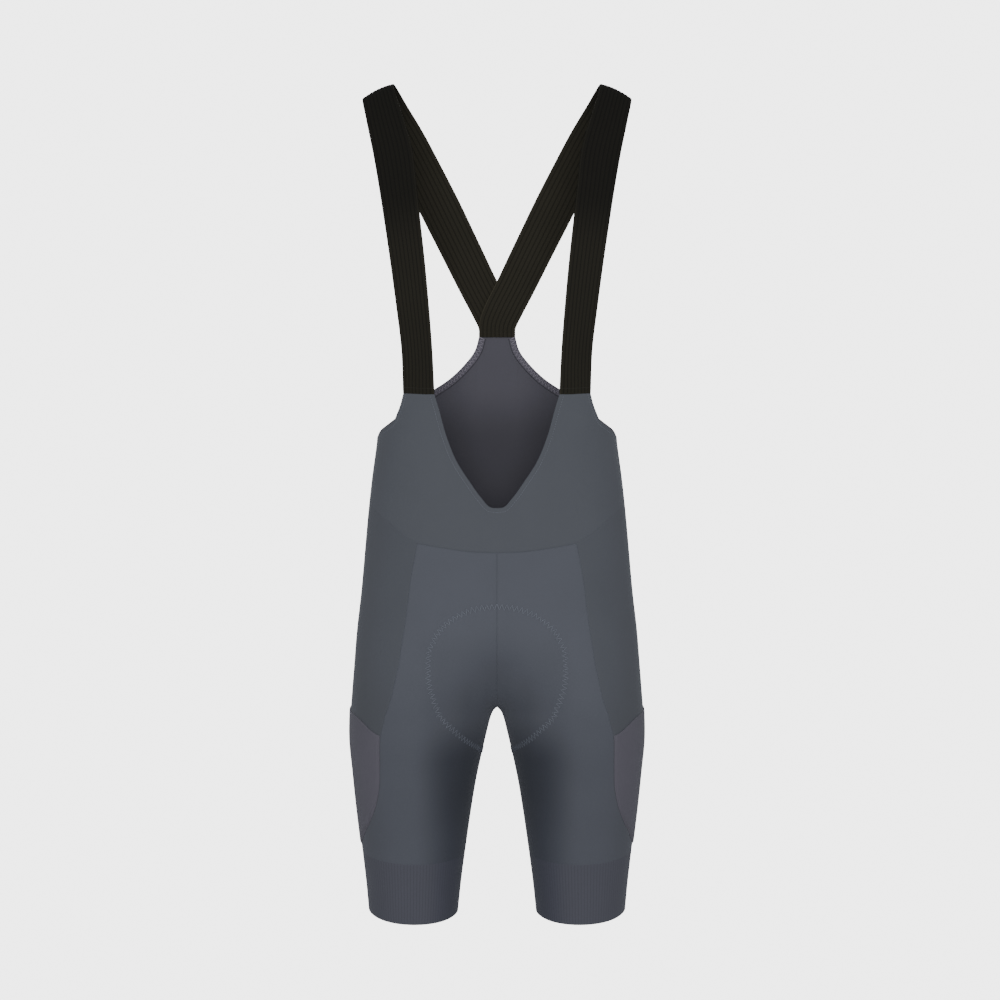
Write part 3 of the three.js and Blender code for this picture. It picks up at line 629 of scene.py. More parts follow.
@dataclass
class Cloth:
    """A cut piece as a grid of points with the lifts of its two faces."""

    at: np.ndarray
    out: np.ndarray
    outer: np.ndarray = field(default=None)
    inner: np.ndarray = field(default=None)
    round_tube: bool = False
    under: np.ndarray = field(default=None)

    @classmethod
    def on_skin(cls, places: np.ndarray) -> "Cloth":
        """Returns the cloth through a grid of [angle, z] places."""
        at = SKIN.points(places)
        return cls(at, SKIN.normals(at))

    def mirrored(self) -> "Cloth":
        """Returns the same cloth on the wearer's other side."""
        flip = np.array([-1.0, 1.0, 1.0])
        faces = [face[:, ::-1] if face is not None else None for face in (self.outer, self.inner)]
        under = self.under[:, ::-1] * flip if self.under is not None else None
        return Cloth(self.at[:, ::-1] * flip, self.out[:, ::-1] * flip, *faces, self.round_tube, under)

    def across_centre(self, first: bool) -> "Cloth":
        """Returns both halves as one, the centre in the first or last column.

        Args:
            first: whether the centre is this half's first column.

        Returns:
            The whole cloth, with no faces laid yet.
        """
        other = self.mirrored()
        halves = (other, self) if first else (self, other)
        at = np.concatenate([halves[0].at[:, :-1], halves[1].at], axis=1)
        out = np.concatenate([halves[0].out[:, :-1], halves[1].out], axis=1)
        return Cloth(at, out)

    def side(self, name: str) -> np.ndarray:
        """Returns the points of the top, right, bottom or left side."""
        sides = {"top": self.at[0], "bottom": self.at[-1], "left": self.at[:, 0], "right": self.at[:, -1]}
        return sides[name]

    def finish_sides(self, wall: float, borders: dict[str, Border]) -> "Cloth":
        """Lays both faces, dipping at seams and rounding free edges.

        Args:
            wall: thickness of the cloth.
            borders: how each side is finished.

        Returns:
            The cloth itself.
        """
        self.outer = np.zeros(self.at.shape[:2])
        self.inner = np.full(self.at.shape[:2], -wall)
        for name, border in borders.items():
            if border is Border.NONE:
                continue
            away = distance_to(self.at, self.side(name))
            if border in (Border.SEAM, Border.BONDED):
                dip = SEAM_DIP if border is Border.SEAM else BONDED_DIP
                self.outer -= dip * (1 - smooth_step(away / SEAM_REACH))
                self.inner += 0.2 * wall * (1 - smooth_step(away / SEAM_REACH))
            else:
                self.outer -= 0.4 * wall * (1 - np.sqrt(np.clip(away / EDGE_ROUND, 0, 1)))
                self.inner += 0.3 * wall * (1 - np.sqrt(np.clip(away / EDGE_ROUND, 0, 1)))
            if border is Border.FOLD:
                folded = 1 - smooth_step((away - FOLD_DEPTH) / 1.2)
                self.outer += 0.12 * folded * smooth_step(away / EDGE_ROUND)
                self.outer -= 0.14 * np.exp(-(((away - FOLD_ROW) / 0.6) ** 2))
        self.draw_in(borders)
        return self

    def ease_seam(self, name: str) -> "Cloth":
        """Makes a seam flatter towards the sides of the body.

        Args:
            name: of the seamed side.

        Returns:
            The cloth itself.
        """
        away = distance_to(self.at, self.side(name))
        flat = smooth_step((np.abs(self.at[..., 0]) - SEAM_FLAT_START) / SEAM_FLAT_REACH)
        self.outer += (SEAM_DIP - BONDED_DIP) * flat * (1 - smooth_step(away / SEAM_REACH))
        return self

    def draw_in(self, borders: dict[str, Border]) -> None:
        """Moves the outer face's seam sides in a little, while the inner faces meet.

        Args:
            borders: how each side is finished.
        """
        at = self.at.copy()
        self.under = self.at.copy()
        steps = {"top": (np.s_[0], np.s_[1]), "bottom": (np.s_[-1], np.s_[-2]),
                 "left": (np.s_[:, 0], np.s_[:, 1]), "right": (np.s_[:, -1], np.s_[:, -2])}
        for name, border in borders.items():
            if border in (Border.SEAM, Border.BONDED):
                edge, beside = steps[name]
                toward = unit(at[beside] - at[edge])
                self.at[edge] = self.at[edge] + toward * (SEAM_DRAW if border is Border.SEAM else BONDED_DRAW)
                self.under[edge] = self.under[edge] - toward * SEAM_LAP

    def faces(self) -> tuple[np.ndarray, np.ndarray]:
        """Returns the points of the outer and the inner face."""
        under = self.at if self.under is None else self.under
        return self.at + self.out * self.outer[..., None], under + self.out * self.inner[..., None]


class Wall:
    """A closed mesh made from one or more cloths that share their inner sides."""

    def __init__(self) -> None:
        """Starts empty."""
        self.count = 0
        self.outer: list[np.ndarray] = []
        self.inner: list[np.ndarray] = []
        self.maps: list[np.ndarray] = []
        self.found: dict[tuple[int, ...], int] = {}
        self.quads: list[tuple[int, ...]] = []

    def add(self, outer: np.ndarray, inner: np.ndarray, cloth_map: np.ndarray, turned: bool = False) -> None:
        """Adds a grid.

        Args:
            outer: points of the face that is seen.
            inner: points of the other face.
            cloth_map: flat coordinates of each point, in metres.
            turned: whether the grid's columns run the other way round.
        """
        rows, columns = outer.shape[:2]
        keys = np.round(np.concatenate([outer, inner], -1) * 1000).astype(int).reshape(-1, 6)
        ids = np.empty(rows * columns, int)
        for k, key in enumerate(map(tuple, keys)):
            if key not in self.found:
                self.found[key] = self.count
                self.count += 1
                self.outer.append(outer.reshape(-1, 3)[k])
                self.inner.append(inner.reshape(-1, 3)[k])
            ids[k] = self.found[key]
        ids = ids.reshape(rows, columns)
        flat = cloth_map.reshape(rows, columns, 2)
        corners = ((0, 0), (1, 0), (1, 1), (0, 1)) if not turned else ((0, 0), (0, 1), (1, 1), (1, 0))
        for i in range(rows - 1):
            for j in range(columns - 1):
                quad = tuple(int(ids[i + a, j + b]) for a, b in corners)
                if len(set(quad)) > 2:
                    self.quads.append(quad)
                    self.maps.append(np.array([flat[i + a, j + b] for a, b in corners]))

    def mesh(self, name: str) -> bpy.types.Mesh:
        """Builds the mesh.

        Args:
            name: of the mesh.

        Returns:
            The closed mesh, with a UV map in metres of cloth.
        """
        n = self.count
        faces: list[tuple[int, ...]] = []
        maps: list[np.ndarray] = []
        edges: dict[tuple[int, int], tuple[np.ndarray, np.ndarray]] = {}
        for quad, flat in zip(self.quads, self.maps):
            ring = [k for k in range(4) if quad[k] != quad[k - 1]]
            ids = [quad[k] for k in ring]
            places = [flat[k] for k in ring]
            faces.append(tuple(ids))
            maps.extend(places)
            faces.append(tuple(n + k for k in reversed(ids)))
            maps.extend(reversed(places))
            for k in range(len(ids)):
                edges[ids[k - 1], ids[k]] = (places[k - 1], places[k])
        for (p, q), (from_p, from_q) in edges.items():
            if (q, p) not in edges:
                faces.append((q, p, n + p, n + q))
                maps.extend([from_q, from_p, from_p, from_q])
        mesh = bpy.data.meshes.new(name)
        places = np.concatenate([np.array(self.outer), np.array(self.inner)]) * MM
        mesh.from_pydata(places.tolist(), [], faces)
        layer = mesh.uv_layers.new(name="cloth")
        layer.data.foreach_set("uv", np.array(maps, np.float32).ravel())
        inside = mesh.attributes.new("inside", "FLOAT", "POINT")
        inside.data.foreach_set("value", np.repeat([0.0, 1.0], n).astype(np.float32))
        mesh.validate()
        return mesh


def cloth_map(points: np.ndarray, centre_column: int = 0) -> np.ndarray:
    """Lays a grid flat.

    Args:
        points: the grid's points, in millimetres.
        centre_column: the column that stays straight.

    Returns:
        Flat coordinates of each point, in metres.
    """
    across = np.linalg.norm(np.diff(points, axis=1), axis=-1)
    across = np.concatenate([np.zeros((len(points), 1)), np.cumsum(across, axis=1)], axis=1)
    across -= across[:, centre_column][:, None]
    down = np.linalg.norm(np.diff(points, axis=0), axis=-1)
    down = np.concatenate([np.zeros((1, points.shape[1])), np.cumsum(down, axis=0)], axis=0)
    return np.stack([across, -down], -1) * MM


def add_object(mesh: bpy.types.Mesh, material: bpy.types.Material, sharp: float = 40.0) -> bpy.types.Object:
    """Adds a mesh to the scene, shaded smoothly except over sharp edges.

    Args:
        mesh: with its points in the shared frame.
        material: of the whole piece.
        sharp: the angle of an edge that stays sharp, in degrees.

    Returns:
        The new object.
    """
    bpy.ops.object.select_all(action="DESELECT")
    piece = bpy.data.objects.new(mesh.name, mesh)
    bpy.context.scene.collection.objects.link(piece)
    mesh.materials.append(material)
    bpy.context.view_layer.objects.active = piece
    piece.select_set(True)
    bpy.ops.object.shade_smooth_by_angle(angle=math.radians(sharp))
    piece.select_set(False)
    return piece


def area_of(outer: np.ndarray) -> float:
    """Returns the area of a grid's face, in square metres.

    Args:
        outer: the grid's points, in millimetres.

    Returns:
        The area.
    """
    a, b, c, d = outer[:-1, :-1], outer[1:, :-1], outer[1:, 1:], outer[:-1, 1:]
    two = np.linalg.norm(np.cross(c - a, d - b), axis=-1)
    return float(two.sum() / 2) * MM * MM


class NodeBuilder:
    """Adds nodes to a tree and joins them."""

    def __init__(self, tree: bpy.types.NodeTree) -> None:
        """Keeps the tree."""
        self.tree = tree

    def node(self, kind: str, **settings: object) -> bpy.types.Node:
        """Adds a node with its settings.

        Args:
            kind: the node's type.
            **settings: its properties by name.

        Returns:
            The node.
        """
        made = self.tree.nodes.new(kind)
        for name, value in settings.items():
            setattr(made, name, value)
        return made

    def put(self, socket: bpy.types.NodeSocket, value: object) -> None:
        """Sets a socket's value, or links it when the value is a socket.

        Args:
            socket: an input.
            value: a value or a socket.
        """
        if isinstance(value, bpy.types.NodeSocket):
            self.tree.links.new(value, socket)
        else:
            socket.default_value = value

    def math(self, operation: str, *values: object) -> bpy.types.NodeSocket:
        """Adds a math node and returns its result.

        Args:
            operation: what it works out.
            *values: numbers or sockets, in the node's order.

        Returns:
            The result's socket.
        """
        made = self.node("ShaderNodeMath", operation=operation)
        for socket, value in zip(made.inputs, values):
            self.put(socket, value)
        return made.outputs[0]

    def noise(self, vector: bpy.types.NodeSocket, scale: float, detail: float = 2.0) -> bpy.types.NodeSocket:
        """Adds a noise texture and returns its value.

        Args:
            vector: where it is read.
            scale: of the noise.
            detail: its layers.

        Returns:
            The value's socket.
        """
        made = self.node("ShaderNodeTexNoise")
        self.put(made.inputs["Vector"], vector)
        made.inputs["Scale"].default_value = scale
        made.inputs["Detail"].default_value = detail
        return made.outputs[0]

    def split(self, vector: bpy.types.NodeSocket) -> tuple[bpy.types.NodeSocket, bpy.types.NodeSocket]:
        """Returns a vector's first two parts."""
        made = self.node("ShaderNodeSeparateXYZ")
        self.put(made.inputs[0], vector)
        return made.outputs[0], made.outputs[1]

    def mix(self, share: object, first: object, second: object) -> bpy.types.NodeSocket:
        """Mixes two colours and returns the result.

        Args:
            share: of the second colour.
            first: colour where the share is 0.
            second: colour where it is 1.

        Returns:
            The result's socket.
        """
        made = self.node("ShaderNodeMix", data_type="RGBA")
        self.put(made.inputs["Factor"], share)
        self.put(made.inputs["A"], first)
        self.put(made.inputs["B"], second)
        return made.outputs["Result"]


class Effects:
    """Node groups that more than one material uses."""

    def __init__(self) -> None:
        """Makes each group."""
        self.knit = self.make_knit()
        self.ribs = self.make_ribs()
        self.tone = self.make_tone()

    @staticmethod
    def start(name: str, inputs: dict[str, str],
              outputs: dict[str, str]) -> tuple[bpy.types.NodeTree, NodeBuilder]:
        """Starts a group.

        Args:
            name: of the group.
            inputs: socket types by name.
            outputs: socket types by name.

        Returns:
            The group and its builder.
        """
        group = bpy.data.node_groups.new(name, "ShaderNodeTree")
        for label, kind in inputs.items():
            group.interface.new_socket(label, in_out="INPUT", socket_type=kind)
        for label, kind in outputs.items():
            group.interface.new_socket(label, in_out="OUTPUT", socket_type=kind)
        return group, NodeBuilder(group)

    def make_knit(self) -> bpy.types.NodeTree:
        """Returns a knit's relief: wales with small stitches leaning each way."""
        group, b = self.start("knit_relief", {"Flat": "NodeSocketVector", "Pitch": "NodeSocketFloat"},
                              {"Height": "NodeSocketFloat"})
        given, made = b.node("NodeGroupInput"), b.node("NodeGroupOutput")
        across, down = b.split(given.outputs["Flat"])
        turns = b.math("DIVIDE", 2 * math.pi, given.outputs["Pitch"])
        wale = b.math("SINE", b.math("MULTIPLY", across, turns))
        lean = b.math("MULTIPLY", b.math("ABSOLUTE", wale), 1.6)
        course = b.math("SINE", b.math("ADD", b.math("MULTIPLY", down, turns), lean))
        height = b.math("MULTIPLY_ADD", course, 0.3, b.math("MULTIPLY", wale, 0.5))
        b.put(made.inputs["Height"], height)
        return group

    def make_ribs(self) -> bpy.types.NodeTree:
        """Returns rounded ribs with narrow valleys, and a mask of the valleys for painted shade there."""
        group, b = self.start("rib_relief", {"Across": "NodeSocketFloat", "Pitch": "NodeSocketFloat"},
                              {"Height": "NodeSocketFloat", "Valley": "NodeSocketFloat"})
        given, made = b.node("NodeGroupInput"), b.node("NodeGroupOutput")
        turns = b.math("DIVIDE", math.pi, given.outputs["Pitch"])
        wave = b.math("ABSOLUTE", b.math("SINE", b.math("MULTIPLY", given.outputs["Across"], turns)))
        b.put(made.inputs["Height"], b.math("POWER", wave, 0.6))
        b.put(made.inputs["Valley"], b.math("POWER", b.math("SUBTRACT", 1.0, wave), 3.0))
        return group

    def make_tone(self) -> bpy.types.NodeTree:
        """Returns a cloth's colour with faint uneven dye and flecks of single yarns."""
        group, b = self.start("cloth_tone", {"Color": "NodeSocketColor", "Flat": "NodeSocketVector",
                                             "Amount": "NodeSocketFloat"}, {"Color": "NodeSocketColor"})
        given, made = b.node("NodeGroupInput"), b.node("NodeGroupOutput")
        place = b.node("ShaderNodeTexCoord").outputs["Object"]
        broad = b.math("SUBTRACT", b.noise(place, 14.0, 3.0), 0.5)
        stretch = b.node("ShaderNodeMapping")
        b.put(stretch.inputs["Vector"], given.outputs["Flat"])
        stretch.inputs["Scale"].default_value = (2600.0, 700.0, 1.0)
        yarns = b.math("SUBTRACT", b.noise(stretch.outputs[0], 1.0, 1.0), 0.5)
        both = b.math("MULTIPLY_ADD", yarns, 1.4, broad)
        gain = b.math("MULTIPLY_ADD", both, given.outputs["Amount"], 1.0)
        scale = b.node("ShaderNodeVectorMath", operation="SCALE")
        b.put(scale.inputs[0], given.outputs["Color"])
        b.put(scale.inputs["Scale"], gain)
        b.put(made.inputs["Color"], scale.outputs[0])
        return group


@dataclass(frozen=True)
class Dye:
    """A cloth's colour, given as the photograph shows it."""

    red: int
    green: int
    blue: int

    def linear(self) -> tuple[float, float, float, float]:
        """Returns the colour as the shader takes it."""
        shares = (np.array([self.red, self.green, self.blue]) / 255 + 0.055) / 1.055
        return (*(float(v) for v in shares**2.4), 1.0)


@dataclass(frozen=True)
class PaintedShading:
    """Painted shade or light, a factor on a cloth's colour: ranges over which it comes in, in metres."""

    factor: float
    across: tuple[float, float] | None = None
    depth: tuple[float, float] | None = None
    height: tuple[float, float] | None = None
    inside: bool = False
    cool: float = 0.0

    def paint_light_and_shade(self, b: NodeBuilder, color: bpy.types.NodeSocket) -> bpy.types.NodeSocket:
        """Returns the colour, with the painted shade or light in full where the mask is 1.

        Args:
            b: builder of the material's tree.
            color: the cloth's colour so far.

        Returns:
            The colour's socket.
        """
        deep = b.node("ShaderNodeVectorMath", operation="MULTIPLY")
        b.put(deep.inputs[0], color)
        deep.inputs[1].default_value = [self.factor * (1 + self.cool * side) for side in (-1.0, -0.5, 1.0)]
        return b.mix(self.mask(b), color, deep.outputs[0])

    def mask(self, b: NodeBuilder) -> bpy.types.NodeSocket:
        """Returns 1 where the painted shade or light is in full and 0 where there is none.

        Args:
            b: builder of the material's tree.

        Returns:
            The mask's socket.
        """
        place = b.node("ShaderNodeSeparateXYZ")
        b.put(place.inputs[0], b.node("ShaderNodeTexCoord").outputs["Object"])
        x, y, z = place.outputs
        shares = []
        for value, reach in ((b.math("ABSOLUTE", x), self.across), (y, self.depth), (z, self.height)):
            if reach:
                part = b.node("ShaderNodeMapRange", interpolation_type="SMOOTHSTEP")
                b.put(part.inputs["Value"], value)
                part.inputs["From Min"].default_value, part.inputs["From Max"].default_value = reach
                shares.append(part.outputs[0])
        if self.inside:
            shares.append(b.node("ShaderNodeAttribute", attribute_name="inside").outputs["Fac"])
        whole = shares[0]
        for share in shares[1:]:
            whole = b.math("MULTIPLY", whole, share)
        return whole


Sockets = tuple[bpy.types.NodeSocket, bpy.types.NodeSocket]

# A hole's radius as a share of the cells' pitch, and the painted shade in the holes
HOLE_RADIUS = 0.24
HOLE_SHADE_SHARE = 0.35
HOLE_SHADE_COLOR = (0.01, 0.01, 0.012, 1.0)
# The elastic's pale edge: where it starts and is full, in metres from the edge, and how much paler it is
SELVEDGE_REACH = (0.0013, 0.0004)
SELVEDGE_PALER = 2.6


@dataclass(frozen=True)
class ClothFinish:
    """A knitted, ribbed, meshed or brushed cloth."""

    name: str
    dye: Dye
    roughness: float = 0.82
    sheen: float = 0.12
    pitch: float = 0.0008
    relief: float = 0.25
    mottle: float = 0.14
    ribs: float = 0.0
    ribs_across: bool = False
    rib_relief: float = 0.6
    # Share of painted shade in the rib valleys
    valley_shade: float = 0.0
    holes: float = 0.0
    selvedge: float = 0.0
    painted_shading: tuple[PaintedShading, ...] = ()

    def material(self, effects: Effects) -> bpy.types.Material:
        """Builds the material.

        Args:
            effects: the shared node groups.

        Returns:
            The material, made from the piece's flat coordinates.
        """
        made = bpy.data.materials.new(self.name)
        made.use_nodes = True
        made.diffuse_color = self.dye.linear()
        b = NodeBuilder(made.node_tree)
        shader = made.node_tree.nodes["Principled BSDF"]
        flat = b.node("ShaderNodeUVMap", uv_map="cloth").outputs[0]
        tone = b.node("ShaderNodeGroup", node_tree=effects.tone)
        tone.inputs["Color"].default_value = self.dye.linear()
        tone.inputs["Amount"].default_value = self.mottle
        b.put(tone.inputs["Flat"], flat)
        color = tone.outputs["Color"]
        knit = b.node("ShaderNodeGroup", node_tree=effects.knit)
        knit.inputs["Pitch"].default_value = self.pitch
        b.put(knit.inputs["Flat"], flat)
        height = b.math("MULTIPLY", knit.outputs["Height"], self.relief)
        if self.ribs:
            color, height = self.with_ribs(b, effects, flat, color, height)
        if self.holes:
            color, height = self.with_holes(b, flat, color, height)
        if self.selvedge:
            color = self.with_selvedge(b, flat, color)
        # Painted light and shade, laid over the colour one after another
        for shade in self.painted_shading:
            color = shade.paint_light_and_shade(b, color)
        bump = b.node("ShaderNodeBump")
        bump.inputs["Strength"].default_value = 0.5
        bump.inputs["Distance"].default_value = 0.00025
        b.put(bump.inputs["Height"], height)
        b.put(shader.inputs["Normal"], bump.outputs[0])
        b.put(shader.inputs["Base Color"], color)
        shader.inputs["Roughness"].default_value = self.roughness
        shader.inputs["Specular IOR Level"].default_value = 0.3
        shader.inputs["Sheen Weight"].default_value = self.sheen
        shader.inputs["Sheen Roughness"].default_value = 0.45
        shader.inputs["Sheen Tint"].default_value = (0.8, 0.84, 0.95, 1.0)
        return made

    def with_ribs(self, b: NodeBuilder, effects: Effects, flat: bpy.types.NodeSocket,
                  color: bpy.types.NodeSocket, height: bpy.types.NodeSocket) -> Sockets:
        """Adds the ribs.

        Args:
            b: builder of the material's tree.
            effects: the shared node groups.
            flat: the piece's flat coordinates.
            color: the cloth's colour so far.
            height: its relief so far.

        Returns:
            The colour, with painted shade in the valleys, and the relief.
        """
        across, down = b.split(flat)
        rib = b.node("ShaderNodeGroup", node_tree=effects.ribs)
        rib.inputs["Pitch"].default_value = self.ribs
        b.put(rib.inputs["Across"], down if self.ribs_across else across)
        # Painted shade in the rib valleys
        dark = tuple(v * (1 - self.valley_shade) for v in self.dye.linear()[:3]) + (1.0,)
        return (b.mix(rib.outputs["Valley"], color, dark),
                b.math("MULTIPLY_ADD", rib.outputs["Height"], self.rib_relief, height))

    def with_holes(self, b: NodeBuilder, flat: bpy.types.NodeSocket,
                   color: bpy.types.NodeSocket, height: bpy.types.NodeSocket) -> Sockets:
        """Adds the small holes of a mesh.

        Args:
            b: builder of the material's tree.
            flat: the piece's flat coordinates.
            color: the cloth's colour so far.
            height: its relief so far.

        Returns:
            The colour, with painted shade in the holes, and the relief.
        """
        cells = b.node("ShaderNodeTexVoronoi", feature="F1")
        b.put(cells.inputs["Vector"], flat)
        cells.inputs["Scale"].default_value = 1 / self.holes
        cells.inputs["Randomness"].default_value = 0.12
        inside = b.math("LESS_THAN", cells.outputs["Distance"], HOLE_RADIUS)
        # Painted shade in the holes
        return (b.mix(b.math("MULTIPLY", inside, HOLE_SHADE_SHARE), color, HOLE_SHADE_COLOR),
                b.math("MULTIPLY_ADD", inside, -0.8, height))

    def with_selvedge(self, b: NodeBuilder, flat: bpy.types.NodeSocket,
                      color: bpy.types.NodeSocket) -> bpy.types.NodeSocket:
        """Makes the elastic's two edges paler.

        Args:
            b: builder of the material's tree.
            flat: the piece's flat coordinates.
            color: the cloth's colour so far.

        Returns:
            The colour with pale edges.
        """
        across, _ = b.split(flat)
        from_edge = b.math("MINIMUM", across, b.math("SUBTRACT", self.selvedge, across))
        edge = b.node("ShaderNodeMapRange", interpolation_type="SMOOTHSTEP")
        b.put(edge.inputs["Value"], from_edge)
        edge.inputs["From Min"].default_value, edge.inputs["From Max"].default_value = SELVEDGE_REACH
        pale = b.node("ShaderNodeVectorMath", operation="SCALE")
        b.put(pale.inputs[0], color)
        pale.inputs["Scale"].default_value = SELVEDGE_PALER
        return b.mix(edge.outputs[0], color, pale.outputs[0])


class Fabrics:
    """The garment's materials by slot."""

    # Painted shade on the inner thighs, where the legs shade each other, a little bluer
    PAINTED_SHADE_INNER_THIGH = PaintedShading(0.55, across=(0.095, 0.046), height=(-0.69, -0.745), cool=0.05)
    # Painted light lower on the inner thighs, easing the painted thigh shade towards the band
    PAINTED_LIGHT_LOWER_INNER_THIGH = PaintedShading(1.32, across=(0.095, 0.046), height=(-0.77, -0.85))
    # Painted shade: the legs darker towards the bottom, as the light falls off
    PAINTED_SHADE_LOWER_LEG = PaintedShading(0.88, height=(-0.6, -0.75))
    # Painted shade: the cloth a little darker within the pad's outline
    PAINTED_SHADE_OVER_PAD = PaintedShading(0.92, across=(0.09, 0.06), height=(-0.585, -0.63))
    # Painted light at the crotch, lifting the shade of the hollow between the legs
    PAINTED_LIGHT_CROTCH = PaintedShading(1.6, across=(0.036, 0.004), height=(-0.63, -0.685))
    # Painted shadow on the back panel's inner face below the neckline
    PAINTED_SHADOW_BACK_INSIDE = PaintedShading(0.7, height=(-0.32, -0.385), inside=True)
    # Painted shade on the inner side of the leg bands
    PAINTED_SHADE_INNER_BAND = PaintedShading(0.85, across=(0.08, 0.046), cool=0.05)
    # Painted shade on the front of the straps near the crest
    PAINTED_SHADE_STRAP_FRONT_TOP = PaintedShading(0.45, height=(-0.19, -0.12), depth=(0.03, -0.01))
    # Painted light on the straps behind
    PAINTED_LIGHT_STRAP_BACK = PaintedShading(1.45, depth=(0.02, 0.06))
    FINISHES = (
        ClothFinish("panel", Dye(84, 87, 96), painted_shading=(PAINTED_SHADE_INNER_THIGH, PAINTED_LIGHT_LOWER_INNER_THIGH, PAINTED_SHADE_LOWER_LEG, PAINTED_SHADE_OVER_PAD, PAINTED_LIGHT_CROTCH)),
        ClothFinish("chest", Dye(81, 84, 91), pitch=0.0007, mottle=0.12),
        ClothFinish("back", Dye(81, 80, 89), pitch=0.0007, mottle=0.12, painted_shading=(PAINTED_SHADOW_BACK_INSIDE,)),
        ClothFinish("side", Dye(79, 82, 89), painted_shading=(PAINTED_SHADE_LOWER_LEG,)),
        ClothFinish("mesh", Dye(90, 88, 98), pitch=0.0011, relief=0.4, holes=0.0016),
        ClothFinish("band", Dye(76, 77, 87), ribs=0.0034, rib_relief=0.9, valley_shade=0.2, painted_shading=(PAINTED_SHADE_INNER_BAND,)),
        ClothFinish("tape", Dye(92, 89, 100), ribs=0.0026, ribs_across=True, rib_relief=1.2, valley_shade=0.4),
        ClothFinish("elastic", Dye(34, 32, 25), roughness=0.95, sheen=0.0, pitch=0.0011, relief=0.5,
                    mottle=0.3, ribs=STRAP_WIDTH * MM / STRAP_RIDGES, rib_relief=0.4, valley_shade=0.8,
                    selvedge=STRAP_WIDTH * MM, painted_shading=(PAINTED_SHADE_STRAP_FRONT_TOP, PAINTED_LIGHT_STRAP_BACK)),
        ClothFinish("pad", Dye(67, 69, 76), roughness=0.95, sheen=0.25, pitch=0.0013, relief=0.3),
        # The thread takes the same painted inner-thigh shade as the panels
        ClothFinish("thread", Dye(112, 116, 127), roughness=0.7, pitch=0.0006, relief=0.6, painted_shading=(PAINTED_SHADE_INNER_THIGH,)),
        ClothFinish("strap_thread", Dye(42, 40, 34), roughness=0.8, pitch=0.0006, relief=0.6),
        ClothFinish("tape_thread", Dye(140, 136, 148), roughness=0.7, pitch=0.0006, relief=0.6),
        ClothFinish("dark_thread", Dye(48, 48, 54), roughness=0.8, pitch=0.0006, relief=0.6),
    )

    def __init__(self) -> None:
        """Builds every finish."""
        effects = Effects()
        self.materials = {finish.name: finish.material(effects) for finish in self.FINISHES}

    def __getitem__(self, name: str) -> bpy.types.Material:
        """Returns a material by its name."""
        return self.materials[name]


@dataclass
class Piece:
    """One sewn piece: its object, the node that it stands for and its cut."""

    node: str
    slot: str
    flat: tuple[float, float]
    area: float | None = None
    held: str = "stretched"
    rests_on: tuple[str, ...] = ()

    def declare(self, made: bpy.types.Object) -> None:
        """Joins the object to the frame, hides the CAD part that it stands for and logs its face count.

        Args:
            made: the piece's object.
        """
        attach(made, "root")
        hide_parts(self.node)
        log.info("%s: %d faces", made.name, len(made.data.polygons))


def hem_at(u: np.ndarray) -> np.ndarray:
    """Returns the hem's height."""
    return HEM_HEIGHT + HEM_DIP * np.cos(4 * math.pi * u) + HEM_TILT * np.cos(2 * math.pi * u)


def band_top_at(u: np.ndarray) -> np.ndarray:
    """Returns the height of the band's upper seam."""
    return hem_at(u) + BAND_HEIGHT


@dataclass(frozen=True)
class Marks:
    """The bib's columns where the tabs and the back's flat top start and end."""

    tab_start: int
    tab_end: int
    back_start: int


